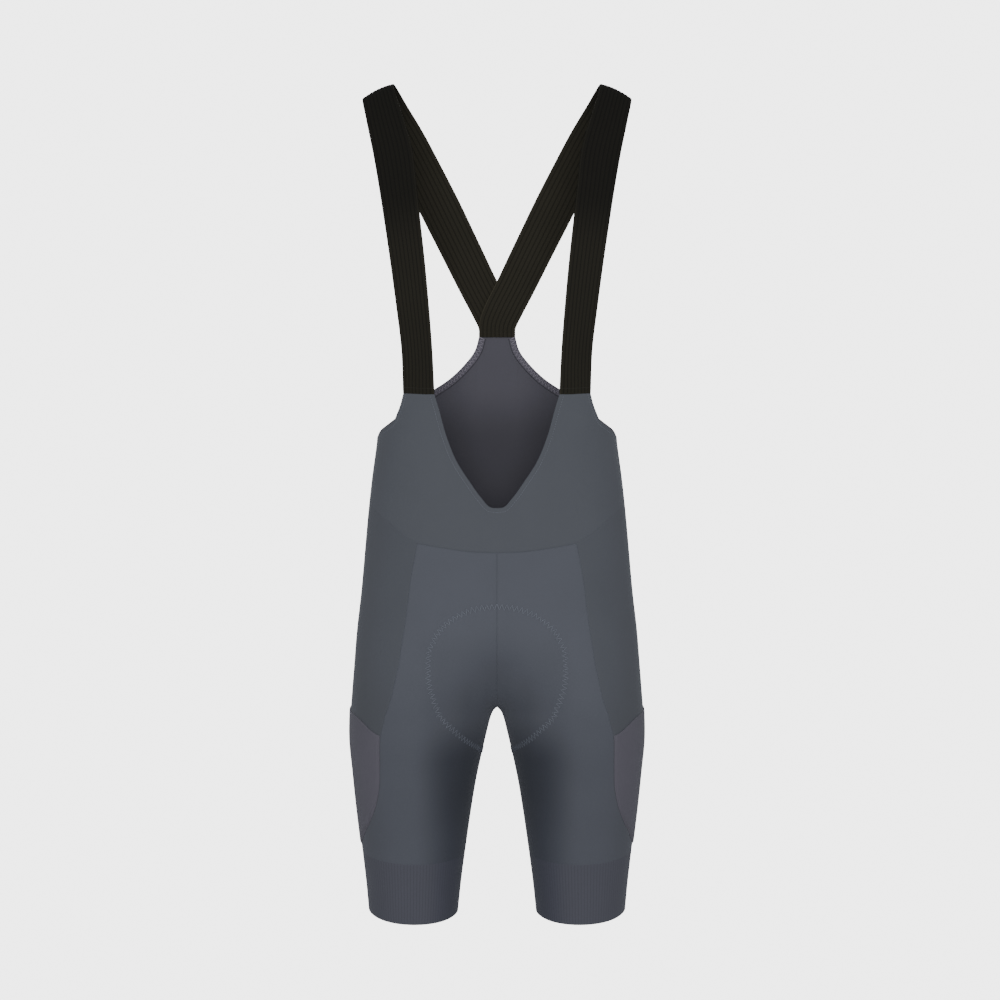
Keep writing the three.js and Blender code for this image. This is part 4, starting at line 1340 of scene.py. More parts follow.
class Pattern:
    """The seam lines that neighbouring pieces share, and each piece's grid."""

    def __init__(self) -> None:
        """Traces every line."""
        self.waist_front = Line.trace(WAIST_FRONT)
        self.waist_side_front = Line.trace(WAIST_SIDE_FRONT)
        self.waist_side_back = Line.trace(WAIST_SIDE_BACK)
        self.waist_back = Line.trace(WAIST_BACK)
        self.neckline = Line.trace(NECKLINE)
        self.tab_top = Line.trace(TAB_TOP)
        self.front_armhole = Line.trace(FRONT_ARMHOLE)
        self.back_armhole = Line.trace(BACK_ARMHOLE)
        self.back_top = Line.trace(BACK_TOP_LINE)
        self.side_bib = Line.trace(SIDE_BIB)
        self.front_upper = Line.trace(FRONT_SEAM_UPPER)
        self.front_lower = Line.trace(FRONT_SEAM_LOWER)
        self.bottom_front = Line.trace(SIDE_BOTTOM_FRONT)
        self.bottom_back = Line.trace(SIDE_BOTTOM_BACK)
        self.mouth = Line.trace(POCKET_MOUTH)
        self.back_upper = Line.trace(BACK_SEAM_UPPER)
        self.back_lower = Line.trace(BACK_SEAM_LOWER)
        self.low_seam = Line.down(0.5, SIDE_FOOT, float(band_top_at(np.array(0.5))))
        self.band_front = Line.level(band_top_at, 0.0, 0.5)
        self.band_back = Line.level(band_top_at, 0.5, 1.0)

    def marks(self) -> Marks:
        """Returns the bib's columns where the tabs and the back's top start and end."""
        front_waist = self.waist_front.length + self.waist_side_front.length
        back_waist = self.waist_side_back.length + self.waist_back.length
        front = shares_of(BIB_COLUMNS, FINE_COLUMNS, front_waist, False, True)
        back = shares_of(BIB_COLUMNS, FINE_COLUMNS, back_waist, True, False)
        places = ((front, NECKLINE_COLUMNS), (front, NECKLINE_COLUMNS + TAB_COLUMNS),
                  (back, BIB_COLUMNS - TAB_COLUMNS))
        return Marks(*(int(np.argmin(np.abs(shares - column / BIB_COLUMNS))) for shares, column in places))

    def front_bib(self) -> Cloth:
        """Returns the front bib's half, from the centre to the side."""
        armhole_columns = BIB_COLUMNS - NECKLINE_COLUMNS - TAB_COLUMNS
        bottom = chain((self.waist_front, FRONT_COLUMNS), (self.waist_side_front, SIDE_COLUMNS))
        top = chain((self.neckline, NECKLINE_COLUMNS), (self.tab_top, TAB_COLUMNS),
                    (self.front_armhole, armhole_columns))
        centre = Line.trace(((0, NECK), (0, FRONT_WAIST)))
        across = shares_of(BIB_COLUMNS, FINE_COLUMNS, bottom.length, False, True)
        down = shares_of(BIB_ROWS, 9, FRONT_BIB_DOWN, True, True)
        return Cloth.on_skin(fill_patch((top, bottom, centre, self.side_bib.reversed()), across, down))

    def back_bib(self) -> Cloth:
        """Returns the back bib's half, from the side to the centre."""
        columns = BIB_COLUMNS - TAB_COLUMNS
        bottom = chain((self.waist_side_back, SIDE_COLUMNS), (self.waist_back, FRONT_COLUMNS))
        top = chain((self.back_armhole, columns), (self.back_top, TAB_COLUMNS))
        centre = Line.trace(((1, BACK_TOP), (1, BACK_WAIST)))
        across = shares_of(BIB_COLUMNS, FINE_COLUMNS, bottom.length, True, False)
        down = shares_of(BIB_ROWS, 11, BACK_BIB_DOWN, True, True)
        return Cloth.on_skin(fill_patch((top, bottom, self.side_bib.reversed(), centre), across, down))

    def leg(self, front: bool) -> tuple[Cloth, tuple[slice, slice]]:
        """Lays a leg panel from the centre seam and inseam out to the side panel.

        Args:
            front: whether it is the front panel.

        Returns:
            The panel, and its rows and columns that lie on the pad.
        """
        u = 0.0 if front else 1.0
        waist = chain((self.waist_front if front else self.waist_back.reversed(), FRONT_COLUMNS))
        rows = PAD_FRONT if front else PAD_BACK
        head, side, foot = (Line.trace(line) for line in rows)
        foot = foot.reversed()
        crown, inner_low = rows[0][0][1], rows[2][-1][1]
        upper, lower = (self.front_upper, self.front_lower) if front else (self.back_upper, self.back_lower)
        bottom = self.bottom_front if front else self.bottom_back.reversed()
        outer = chain((upper, SEAM_UPPER_ROWS), (lower, SEAM_LOWER_ROWS), (bottom, SIDE_COLUMNS),
                      (self.low_seam, 1))
        band_top = chain((self.band_front if front else self.band_back.reversed(), FRONT_COLUMNS))
        shoulder, corner = side.at(np.array([0.0, 1.0]))
        pad_end = ABOVE_PAD_ROWS + PAD_ROWS
        waist_corner = waist.part(0, PAD_COLUMNS).at(np.array([1.0]))[0]
        band_corner = band_top.part(0, PAD_COLUMNS).at(np.array([1.0]))[0]
        outer_shoulder = outer.part(0, ABOVE_PAD_ROWS).at(np.array([1.0]))[0]
        outer_corner = outer.part(0, pad_end).at(np.array([1.0]))[0]
        above = Line.trace(((u, rows_top(waist)), (u, crown)))
        beside = chain((Line.centre(u, crown, CROTCH), PAD_CENTRE_ROWS),
                       (Line.down(u, CROTCH, inner_low), PAD_INSEAM_ROWS))
        below = Line.down(u, inner_low, float(band_top_at(np.array(u))))
        over_shoulder = Line.between(waist_corner, shoulder)
        from_shoulder = Line.between(shoulder, outer_shoulder)
        from_corner = Line.between(corner, outer_corner)
        under_corner = Line.between(corner, band_corner)
        inside = shares_of(PAD_COLUMNS, FINE_COLUMNS, PAD_ACROSS, True, False)
        outside = shares_of(OUTER_COLUMNS, FINE_COLUMNS, OUTER_ACROSS, False, True)
        steps = (shares_of(ABOVE_PAD_ROWS, 12, ABOVE_PAD_DOWN, True, False),
                 shares_of(PAD_ROWS, 10, PAD_DOWN, False, False),
                 shares_of(BELOW_PAD_ROWS, 5, BELOW_PAD_DOWN, False, True))
        bands = (
            ((waist.part(0, PAD_COLUMNS), head, above, over_shoulder),
             (waist.part(PAD_COLUMNS, FRONT_COLUMNS), from_shoulder, over_shoulder,
              outer.part(0, ABOVE_PAD_ROWS))),
            ((head, foot, beside, side),
             (from_shoulder, from_corner, side, outer.part(ABOVE_PAD_ROWS, pad_end))),
            ((foot, band_top.part(0, PAD_COLUMNS), below, under_corner),
             (from_corner, band_top.part(PAD_COLUMNS, FRONT_COLUMNS), under_corner,
              outer.part(pad_end, outer.count))),
        )
        grids = []
        for (first, second), down in zip(bands, steps):
            grids.append(np.concatenate([fill_patch(first, inside, down),
                                         fill_patch(second, outside, down)[:, 1:]], axis=1))
        places = np.concatenate([grids[0], grids[1][1:], grids[2][1:]], axis=0)
        pad = (slice(len(steps[0]) - 1, len(steps[0]) + len(steps[1]) - 1), slice(0, len(inside)))
        return Cloth.on_skin(places), pad

    def side_panel(self) -> tuple[Cloth, Cloth]:
        """Returns the side panel, and its lower part, where the pocket lies."""
        top = chain((self.waist_side_front, SIDE_COLUMNS), (self.waist_side_back, SIDE_COLUMNS))
        bottom = chain((self.bottom_front, SIDE_COLUMNS), (self.bottom_back, SIDE_COLUMNS))
        across = shares_of(2 * SIDE_COLUMNS, FINE_COLUMNS, SIDE_ACROSS, True, True)
        upper_rows = shares_of(SEAM_UPPER_ROWS, 9, SIDE_UPPER_DOWN, True, False)
        lower_rows = shares_of(SEAM_LOWER_ROWS, 8, SIDE_LOWER_DOWN, False, True)
        pocket_rows = shares_of(SEAM_LOWER_ROWS, 8, SIDE_LOWER_DOWN, True, True)
        upper = fill_patch((top, self.mouth, self.front_upper, self.back_upper), across, upper_rows)
        sides = (self.mouth, bottom, self.front_lower, self.back_lower)
        lower = fill_patch(sides, across, lower_rows)
        whole = np.concatenate([upper, lower[1:]], axis=0)
        return Cloth.on_skin(whole), Cloth.on_skin(fill_patch(sides, across, pocket_rows))

    def band(self) -> Cloth:
        """Returns the leg band, all round the leg."""
        down = shares_of(BAND_ROWS, 10, BAND_HEIGHT, True, True)
        u = np.linspace(0, 1, 181)
        heights = band_top_at(u)[None] - BAND_HEIGHT * down[:, None]
        places = np.stack(np.broadcast_arrays(u[None], heights), -1)
        made = Cloth.on_skin(SKIN.turn(places))
        made.at[:, -1], made.out[:, -1] = made.at[:, 0], made.out[:, 0]
        made.round_tube = True
        return made


def rows_top(line: Chain) -> float:
    """Returns the height at a chain's start."""
    return float(line.at(np.array([0.0]))[0, 1])


class SkinPieces:
    """The panels that lie on the skin: bib, legs, sides, pockets and bands."""

    LEG = {"top": Border.SEAM, "right": Border.SEAM, "bottom": Border.BONDED, "left": Border.SEAM}
    SIDE = {"top": Border.BONDED, "right": Border.SEAM, "bottom": Border.SEAM, "left": Border.SEAM}
    BIB = {"top": Border.FOLD, "right": Border.SEAM, "bottom": Border.SEAM, "left": Border.SEAM}
    BAND = {"top": Border.BONDED, "right": Border.NONE, "bottom": Border.RAW, "left": Border.NONE}
    CUTS = {
        "front_bib": ((0.40, 0.175), 0.040),
        "back_bib": ((0.36, 0.215), 0.049),
        "front_leg": ((0.20, 0.345), 0.049),
        "back_leg": ((0.24, 0.385), 0.064),
        "side_panel": ((0.20, 0.39), 0.061),
        "pocket": ((0.165, 0.155), 0.0215),
        "leg_band": ((0.388, 0.067), None),
    }

    def __init__(self, pattern: Pattern, fabrics: Fabrics) -> None:
        """Keeps the pattern and the materials."""
        self.pattern = pattern
        self.fabrics = fabrics

    def add(self, name: str, node: str, slot: str, cloth: Cloth,
            rests_on: tuple[str, ...] = ()) -> bpy.types.Object:
        """Adds one panel.

        Args:
            name: the piece's name in the table of cuts.
            node: the CAD node that it stands for.
            slot: its material slot.
            cloth: its two faces.
            rests_on: what holds it.

        Returns:
            The panel's object.
        """
        outer, inner = cloth.faces()
        wall = Wall()
        middle = cloth.at.shape[1] // 2 if name in ("front_bib", "back_bib") else 0
        flat = cloth_map(cloth.at, middle)
        if cloth.round_tube:
            flat[..., 0] = flat[..., 0].mean(axis=0, keepdims=True)
        wall.add(outer, inner, flat)
        made = add_object(wall.mesh(node + "_cloth"), self.fabrics[slot])
        flat, area = self.CUTS[name]
        log.info("%s: face area %.4f", node, area_of(cloth.at))
        Piece(node, slot, flat, area, rests_on=rests_on).declare(made)
        return made

    def pair(self, name: str, slot: str, cloth: Cloth, rests_on: str = "") -> None:
        """Adds a panel on the wearer's left and its mirror image on the right.

        Args:
            name: the piece's name in the table of cuts.
            slot: its material slot.
            cloth: the left panel.
            rests_on: the panel that holds it, without its side.
        """
        for side, half in (("left", cloth), ("right", cloth.mirrored())):
            hold = (f"{rests_on}_{side}_cloth",) if rests_on else ()
            self.add(name, f"{name}_{side}", slot, half, hold)

    def build(self) -> dict[str, Cloth]:
        """Builds every panel.

        Returns:
            The cloths that other pieces are made from, by name.
        """
        front = self.pattern.front_bib()
        back = self.pattern.back_bib()
        whole_front = front.across_centre(True).finish_sides(CLOTH_WALL, self.BIB)
        whole_front.ease_seam("bottom")
        whole_back = back.across_centre(False).finish_sides(CLOTH_WALL, self.BIB)
        whole_back.ease_seam("bottom")
        self.add("front_bib", "front_bib", "chest", whole_front)
        self.add("back_bib", "back_bib", "back", whole_back)
        legs = {}
        for name, is_front in (("front_leg", True), ("back_leg", False)):
            leg, pad = self.pattern.leg(is_front)
            legs[name] = Cloth(leg.at[pad].copy(), leg.out[pad].copy())
            if not is_front:
                leg = Cloth(leg.at[:, ::-1], leg.out[:, ::-1])
            self.pair(name, "panel", leg.finish_sides(CLOTH_WALL, self.LEG))
        side, pocket = self.pattern.side_panel()
        self.pair("side_panel", "side", side.finish_sides(CLOTH_WALL, self.SIDE))
        self.pair("pocket", "mesh", self.lay_pocket(pocket), "side_panel")
        self.pair("leg_band", "band", self.pattern.band().finish_sides(CLOTH_WALL, self.BAND))
        return {"front_bib": front, "back_bib": back, "whole_back": whole_back, **legs}

    @staticmethod
    def lay_pocket(pocket: Cloth) -> Cloth:
        """Lays the pocket over the side panel, caught in the seams on three sides.

        Args:
            pocket: the side panel's lower part.

        Returns:
            The same cloth, with its faces.
        """
        lift = LAY_GAP + POCKET_WALL
        seams = [distance_to(pocket.at, pocket.side(name)) for name in ("right", "bottom", "left")]
        away = np.min(seams, axis=0)
        from_mouth = distance_to(pocket.at, pocket.side("top"))
        pocket.outer = lift - 1.35 * (1 - smooth_step(away / 3.0))
        pocket.inner = LAY_GAP - 0.6 * (1 - smooth_step(away / 2.5))
        hem = 1 - smooth_step((from_mouth - 6.5) / 1.2)
        pocket.outer += 0.12 * hem * smooth_step(away / 3.0) * smooth_step(from_mouth / 0.7)
        pocket.outer -= 0.5 * (1 - np.sqrt(np.clip(from_mouth / 0.8, 0, 1))) * smooth_step(away / 3.0)
        pocket.draw_in({"right": Border.SEAM, "bottom": Border.SEAM, "left": Border.SEAM})
        return pocket


class EvenCurve:
    """A centripetal curve through points, read as the CAD reads it."""

    def __init__(self, points: Sequence[np.ndarray]) -> None:
        """Keeps the points and adds one past each end."""
        p = [np.asarray(point, float) for point in points]
        self.points = np.array([2 * p[0] - p[1], *p, 2 * p[-1] - p[-2]])
        self.spans = len(p) - 1

    def at(self, share: float) -> np.ndarray:
        """Returns the point at a share of the curve.

        Args:
            share: from 0 to 1.

        Returns:
            The point.
        """
        place = min(share * self.spans, self.spans - 1e-9)
        i = int(place)
        t = place - i
        p0, p1, p2, p3 = self.points[i:i + 4]
        d0, d1, d2 = (math.sqrt(np.linalg.norm(b - a)) for a, b in ((p0, p1), (p1, p2), (p2, p3)))
        m1 = ((p1 - p0) / d0 - (p2 - p0) / (d0 + d1) + (p2 - p1) / d1) * d1
        m2 = ((p2 - p1) / d1 - (p3 - p1) / (d1 + d2) + (p3 - p2) / d2) * d1
        return p1 + m1 * t + (3 * (p2 - p1) - 2 * m1 - m2) * t**2 + (2 * (p1 - p2) + m1 + m2) * t**3


class Straps:
    """The two ribbed elastic straps, from the tabs over the shoulders, crossed at the back."""

    COLUMNS = STRAP_RIDGES * 8
    CUT = (0.044, 0.73)

    def __init__(self, fabrics: Fabrics) -> None:
        """Reads the arch."""
        self.fabrics = fabrics
        self.arch = SmoothTable(ARCH_ROWS)

    def arch_point(self, side: np.ndarray, x: np.ndarray, z: np.ndarray) -> np.ndarray:
        """Returns the strap's place on the shoulder arch.

        Args:
            side: below 0 in front, above 0 behind.
            x: across.
            z: height.

        Returns:
            The places.
        """
        drop = np.maximum(CREST_HEIGHT - CREST_FALL * x * x - z, 0)
        q = side * np.sqrt(drop)
        bend = x * x * smooth_step(np.abs(q) / ARCH_REACH)
        depth = self.arch.read(q)[..., 0]
        y = np.where(side <= 0, depth + bend / CHEST_ROUND, depth - bend / BACK_ROUND)
        return np.stack([x, y, z], -1)

    def edge_point(self, side: int, x: float, z: float) -> np.ndarray:
        """Returns the place of one of the strap's edges.

        Args:
            side: -1 in front, 0 on the crest, 1 behind.
            x: across.
            z: height, unused on the crest.

        Returns:
            The place.
        """
        if side == 0:
            return np.array([x, 0.0, CREST_HEIGHT - CREST_FALL * x * x])
        return self.arch_point(np.array(float(side)), np.array(float(x)), np.array(float(z)))

    def lay(self, front: np.ndarray, back: np.ndarray, inset: float) -> Cloth:
        """Lays one strap.

        Args:
            front: the points of the tab's top, where it starts.
            back: the points of the back panel's top, where it ends.
            inset: how far it lies inside the other strap where they cross.

        Returns:
            The strap's middle grid, rows along it.
        """
        low = np.array([0.0, 0.0, -STRAP_END_DROP])
        inner = [front[0] + low, *(self.edge_point(r[0], r[1], r[2]) for r in STRAP_ROWS), back[0] + low]
        outer = [front[-1] + low, *(self.edge_point(r[0], r[3], r[4]) for r in STRAP_ROWS), back[-1] + low]
        shares = [0.0]
        for i in range(len(inner) - 1):
            steps = max(2, round(float(np.linalg.norm(outer[i + 1] - outer[i])) / STRAP_STEP))
            shares.extend((i + (k + 1) / steps) / (len(inner) - 1) for k in range(steps))
        curves = EvenCurve(inner), EvenCurve(outer)
        ends = np.array([[curve.at(share) for curve in curves] for share in shares])
        s = np.linspace(0, 1, self.COLUMNS + 1)[None, :, None]
        at = ends[:, 0:1] * (1 - s) + ends[:, 1:2] * s
        crown = (CROWN_INNER * (1 - s) + CROWN_MIDDLE * 4 * s * (1 - s))[..., 0]
        at[..., 2] += crown * (1 - smooth_step(np.abs(at[..., 1]) / CROWN_REACH))
        passed = travelled(at[:, 0])
        for line, row, way in ((front, 0, passed), (back, -1, passed[-1] - passed)):
            curve = Sewing.at_shares(line, s[0, :, 0]) + low
            near_end = 1 - smooth_step(way / STRAP_END_REACH)
            at = at + (curve - at[row])[None] * near_end[:, None, None]
        along = np.gradient(at, axis=0)
        across = at[:, -1:] - at[:, :1]
        out = unit(np.cross(np.broadcast_to(across, along.shape), along))
        below_top = smooth_step((CROSSING_TOP - at[..., 2]) / CROSSING_REACH)
        crossed = np.where(at[..., 1] > 0, below_top, 0)[..., None]
        level = self.arch_point(np.ones(at.shape[:2]), at[..., 0], at[..., 2])
        return Cloth(at * (1 - crossed) + level * crossed - out * inset * crossed, out)

    def ribbed(self, strap: Cloth) -> Cloth:
        """Raises nine rounded ridges on the outer face, with shallow ones inside.

        Args:
            strap: the strap's middle grid.

        Returns:
            The same cloth, with its faces.
        """
        s = np.linspace(0, 1, self.COLUMNS + 1)[None]
        way = travelled(strap.at[:, 0])
        pressed = smooth_step((np.minimum(way, way[-1] - way) - STRAP_HEM) / 2.5)
        ridge = np.abs(np.sin(math.pi * STRAP_RIDGES * s)) ** 0.8 * (0.25 + 0.75 * pressed[:, None])
        strap.outer = STRAP_RIDGE * ridge
        strap.outer -= 0.12 * (1 - smooth_step(np.minimum(s, 1 - s) * STRAP_WIDTH / EDGE_ROUND))
        strap.inner = -STRAP_VALLEY + 0.3 * ridge
        return strap

    def build(self, front: Cloth, back: Cloth, marks: Marks) -> dict[str, Cloth]:
        """Builds both straps.

        Args:
            front: the front bib's half.
            back: the back bib's half.
            marks: the bib's columns where the straps start and end.

        Returns:
            The straps by side.
        """
        flip = np.array([-1.0, 1.0, 1.0])
        tab = front.at[0, marks.tab_start:marks.tab_end + 1]
        half = back.at[0, marks.back_start:]
        ends = np.concatenate([half * flip, half[-2::-1]])
        inset = STRAP_VALLEY + STRAP_RIDGE + STRAP_LAYER_GAP
        over = self.ribbed(self.lay(tab, ends, inset))
        under = self.ribbed(self.lay(tab, ends, 0.0))
        under = Cloth(under.at * flip, under.out * flip, under.outer, under.inner)
        for side, strap, turned in (("left", over, True), ("right", under, False)):
            wall = Wall()
            flat = cloth_map(strap.at)
            flat[..., 0] = np.linspace(0, STRAP_WIDTH * MM, self.COLUMNS + 1)[None]
            wall.add(*strap.faces(), flat, turned)
            made = add_object(wall.mesh(f"strap_{side}_cloth"), self.fabrics["elastic"], 50.0)
            held = ("front_bib_cloth", "back_bib_cloth")
            Piece(f"strap_{side}", "elastic", self.CUT, rests_on=held).declare(made)
            log.info("strap_%s: face area %.4f", side, area_of(strap.at))
        return {"left": over, "right": under}


class EdgeTapes:
    """The tape inside the back panel's upper edge."""

    CUT = (0.01, 0.212)
    AREA = 0.0016

    def __init__(self, fabrics: Fabrics) -> None:
        """Keeps the materials."""
        self.fabrics = fabrics

    def build(self, back: Cloth, columns: int) -> None:
        """Builds both tapes.

        Args:
            back: the whole back bib.
            columns: how many of its columns lie between the side and the top.
        """
        top, out = back.at[0, :columns + 1], back.out[0, :columns + 1]
        row = int(np.argmax(np.linalg.norm(back.at[:, columns // 2] - back.at[0, columns // 2], axis=-1) > 9))
        toward = unit(back.at[row, :columns + 1] - top)
        side_on = unit(np.gradient(top, axis=0))
        toward = unit(toward - side_on * (toward * side_on).sum(-1, keepdims=True))
        drops = np.array([0.0, 0.3, 1.0, 2.0, 3.5, 5.0, 6.0, 6.7, 7.0]) + TAPE_DROP
        at = SKIN.settle(top[None] + toward[None] * drops[:, None, None])
        normals = SKIN.normals(at)
        cloth = Cloth(at, normals)
        from_edge = np.minimum(drops - TAPE_DROP, TAPE_WIDTH + TAPE_DROP - drops)
        round_off = 0.3 * (1 - smooth_step(from_edge / EDGE_ROUND))
        face = -CLOTH_WALL - LAY_GAP + 0.1
        cloth.outer = np.full(at.shape[:2], face)
        under = (face - TAPE_WALL * 0.9 + round_off)[:, None]
        cloth.inner = np.broadcast_to(under, at.shape[:2]).copy()
        for side, half in (("left", cloth), ("right", cloth.mirrored())):
            wall = Wall()
            flat = cloth_map(half.at)
            wall.add(*half.faces(), flat[..., ::-1])
            made = add_object(wall.mesh(f"edge_tape_{side}_cloth"), self.fabrics["tape"])
            held = ("back_bib_cloth",)
            Piece(f"edge_tape_{side}", "tape", self.CUT, self.AREA, rests_on=held).declare(made)
            log.info("edge_tape_%s: face area %.5f", side, area_of(half.at))


class SeatPad:
    """The stuffed pad inside the crotch."""

    def __init__(self, fabrics: Fabrics) -> None:
        """Keeps the materials."""
        self.fabrics = fabrics

    def build(self, front: Cloth, back: Cloth) -> None:
        """Builds the pad from the points of the leg panels that lie on it.

        Args:
            front: the part of the front leg panel within the pad's outline.
            back: the part of the back leg panel.
        """
        wall = Wall()
        flip = np.array([-1.0, 1.0, 1.0])
        for cloth, turned in ((front, False), (back, True)):
            rows, columns = cloth.at.shape[:2]
            j = np.arange(columns)[None]
            i = np.arange(rows)[:, None]
            from_side = smooth_step((columns - 1 - j) / (columns - 1) * PAD_SIDE_RAMP)
            from_ends = smooth_step(np.minimum(i, rows - 1 - i) / (rows - 1) * PAD_END_RAMP)
            thick = PAD_EDGE + (PAD_MIDDLE - PAD_EDGE) * from_side * from_ends
            outer = cloth.at - cloth.out * (CLOTH_WALL + PAD_GAP)
            inner = outer - cloth.out * thick[..., None]
            flat = cloth_map(cloth.at)
            wall.add(outer, inner, flat, turned)
            wall.add(outer * flip, inner * flip, flat, not turned)
        made = add_object(wall.mesh("seat_pad_foam"), self.fabrics["pad"])
        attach(made, "root")
        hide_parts("seat_pad")
        log.info("seat_pad: %d faces", len(made.data.polygons))


Threads = list[tuple[np.ndarray, np.ndarray]]


@dataclass(frozen=True)
class Thread:
    """Sewing thread as a thin tube through points."""

    radius: float
    sides: int = 6

    def tube(self, points: np.ndarray, out: np.ndarray,
             start: int) -> tuple[np.ndarray, list[tuple[int, ...]]]:
        """Makes one tube.

        Args:
            points: the thread's way, in millimetres.
            out: the direction out of the cloth at each.
            start: index of its first vertex.

        Returns:
            The tube's vertices and faces.
        """
        along = unit(np.gradient(points, axis=0))
        across = unit(np.cross(along, out))
        up = np.cross(across, along)
        turn = np.arange(self.sides) * 2 * math.pi / self.sides
        wide, high = np.cos(turn)[None, :, None], 0.7 * np.sin(turn)[None, :, None]
        ring = wide * across[:, None] + high * up[:, None]
        places = (points[:, None] + ring * self.radius).reshape(-1, 3)
        faces: list[tuple[int, ...]] = []
        n = self.sides
        for i in range(len(points) - 1):
            for k in range(n):
                a, b = start + i * n + k, start + i * n + (k + 1) % n
                faces.append((a, b, b + n, a + n))
        last = start + (len(points) - 1) * n
        faces.append(tuple(start + k for k in reversed(range(n))))
        faces.append(tuple(last + k for k in range(n)))
        return places, faces


class Sewing:
    """Every row of stitches that the photograph shows."""

    ROW_BELOW = 12
    FINE_THREAD = 0.22
    THICK_THREAD = 0.4
    DARK_THREAD = 0.3
    STRAP_THREAD = 0.2
    EDGE_STITCH = (2.8, 1.7)
    DARK_STITCH = (2.6, 2.1)
    TAPE_ZIGZAG = (4.6, -2.8, 2.8)
    PAD_ZIGZAG = (5.4, -3.1, 3.1)

    def __init__(self, fabrics: Fabrics) -> None:
        """Keeps the materials."""
        self.fabrics = fabrics

    def add(self, name: str, slot: str, material: str, threads: Threads, radius: float) -> None:
        """Adds a row of stitches as one object.

        Args:
            name: of the object.
            slot: material slot of the cloth that it is sewn into; not used.
            material: of the thread.
            threads: the points of each thread and the direction out there.
            radius: of the thread.
        """
        places: list[np.ndarray] = []
        faces: list[tuple[int, ...]] = []
        count = 0
        for points, out in threads:
            made, tube_faces = Thread(radius).tube(points, out, count)
            places.append(made)
            faces.extend(tube_faces)
            count += len(made)
        mesh = bpy.data.meshes.new(name)
        every = np.concatenate(places) * MM
        mesh.from_pydata(every.tolist(), [], faces)
        layer = mesh.uv_layers.new(name="cloth")
        loops = np.empty(len(mesh.loops), int)
        mesh.loops.foreach_get("vertex_index", loops)
        layer.data.foreach_set("uv", every[loops][:, [0, 2]].astype(np.float32).ravel())
        made = add_object(mesh, self.fabrics[material], 60.0)
        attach(made, "root")
        log.info("%s: %d faces", name, len(mesh.polygons))

    @staticmethod
    def at_shares(line: np.ndarray, shares: np.ndarray) -> np.ndarray:
        """Returns a line's points at shares of its length."""
        lengths = travelled(line)
        return np.stack([np.interp(shares * lengths[-1], lengths, line[:, k]) for k in range(3)], -1)

    @staticmethod
    def even(line: np.ndarray, pitch: float) -> np.ndarray:
        """Returns a line's points at an even pitch."""
        count = max(2, round(travelled(line)[-1] / pitch))
        return Sewing.at_shares(line, np.linspace(0, 1, count + 1))

    def running(self, line: np.ndarray, pitch: float, stitch: float, lift: float) -> Threads:
        """Makes a straight row of stitches.

        Args:
            line: points on the skin.
            pitch: from one stitch to the next.
            stitch: length of a stitch.
            lift: of the thread above the skin.

        Returns:
            The threads.
        """
        places = self.even(line, pitch)
        threads = []
        share = stitch / pitch
        for a, b in zip(places[:-1], places[1:]):
            k = np.array([0, 0.15, 0.5, 0.85, 1])[:, None]
            at = SKIN.settle(a + (b - a) * k * share)
            out = SKIN.normals(at)
            rise = np.array([-0.25, 0.02, 0.12, 0.02, -0.25])[:, None] + lift
            threads.append((at + out * rise, out))
        return threads

    def zigzag(self, line: np.ndarray, pitch: float, near: float, far: float, lift: float) -> Threads:
        """Makes a zigzag row beside a line.

        Args:
            line: points on the skin.
            pitch: of a whole zigzag.
            near: distance of its near points from the line.
            far: distance of its far points.
            lift: of the thread above the skin.

        Returns:
            One thread.
        """
        places = self.even(line, pitch / 2)
        out = SKIN.normals(places)
        side = unit(np.cross(unit(np.gradient(places, axis=0)), out))
        turns = np.where(np.arange(len(places)) % 2 == 0, near, far)[:, None]
        corners = places + side * turns
        ways = [corners[:1]]
        for a, b in zip(corners[:-1], corners[1:]):
            ways.append(a + (b - a) * np.array([0.5, 1.0])[:, None])
        at = SKIN.settle(np.concatenate(ways))
        out = SKIN.normals(at)
        return [(at + out * lift, out)]

    @staticmethod
    def beside(line: np.ndarray, row: np.ndarray, away: float) -> np.ndarray:
        """Returns a piece's edge moved towards one of its rows.

        Args:
            line: the edge.
            row: a row of the piece, point for point.
            away: how far.

        Returns:
            The points on the skin.
        """
        along = unit(np.gradient(line, axis=0))
        toward = unit(row - line)
        toward = unit(toward - along * (toward * along).sum(-1, keepdims=True))
        return SKIN.settle(line + toward * away)

    def add_both(self, name: str, slot: str, material: str, threads: Threads, radius: float) -> None:
        """Adds stitches on the wearer's left and their mirror image on the right.

        Args:
            name: of the objects, without the side.
            slot: material slot of the cloth.
            material: of the thread.
            threads: the left ones.
            radius: of the thread.
        """
        flip = np.array([-1.0, 1.0, 1.0])
        mirrored = [(points * flip, out * flip) for points, out in threads]
        self.add(f"{name}_left", slot, material, threads, radius)
        self.add(f"{name}_right", slot, material, mirrored, radius)

    def edges(self, front: Cloth, back: Cloth, marks: Marks) -> None:
        """Sews the folded edges of the neckline and the armholes.

        Args:
            front: the front bib's half.
            back: the back bib's half.
            marks: where the tabs and the top lie.
        """
        neck, arm = slice(0, marks.tab_start + 1), slice(marks.tab_end, None)
        back_arm = slice(0, marks.back_start + 1)
        threads: Threads = []
        for cloth, part in ((front, neck), (front, arm), (back, back_arm)):
            line = self.beside(cloth.at[0, part], cloth.at[self.ROW_BELOW, part], FOLD_ROW)
            threads.extend(self.running(line, *self.EDGE_STITCH, 0.0))
        self.add_both("edge_stitches", "chest", "thread", threads, self.FINE_THREAD)

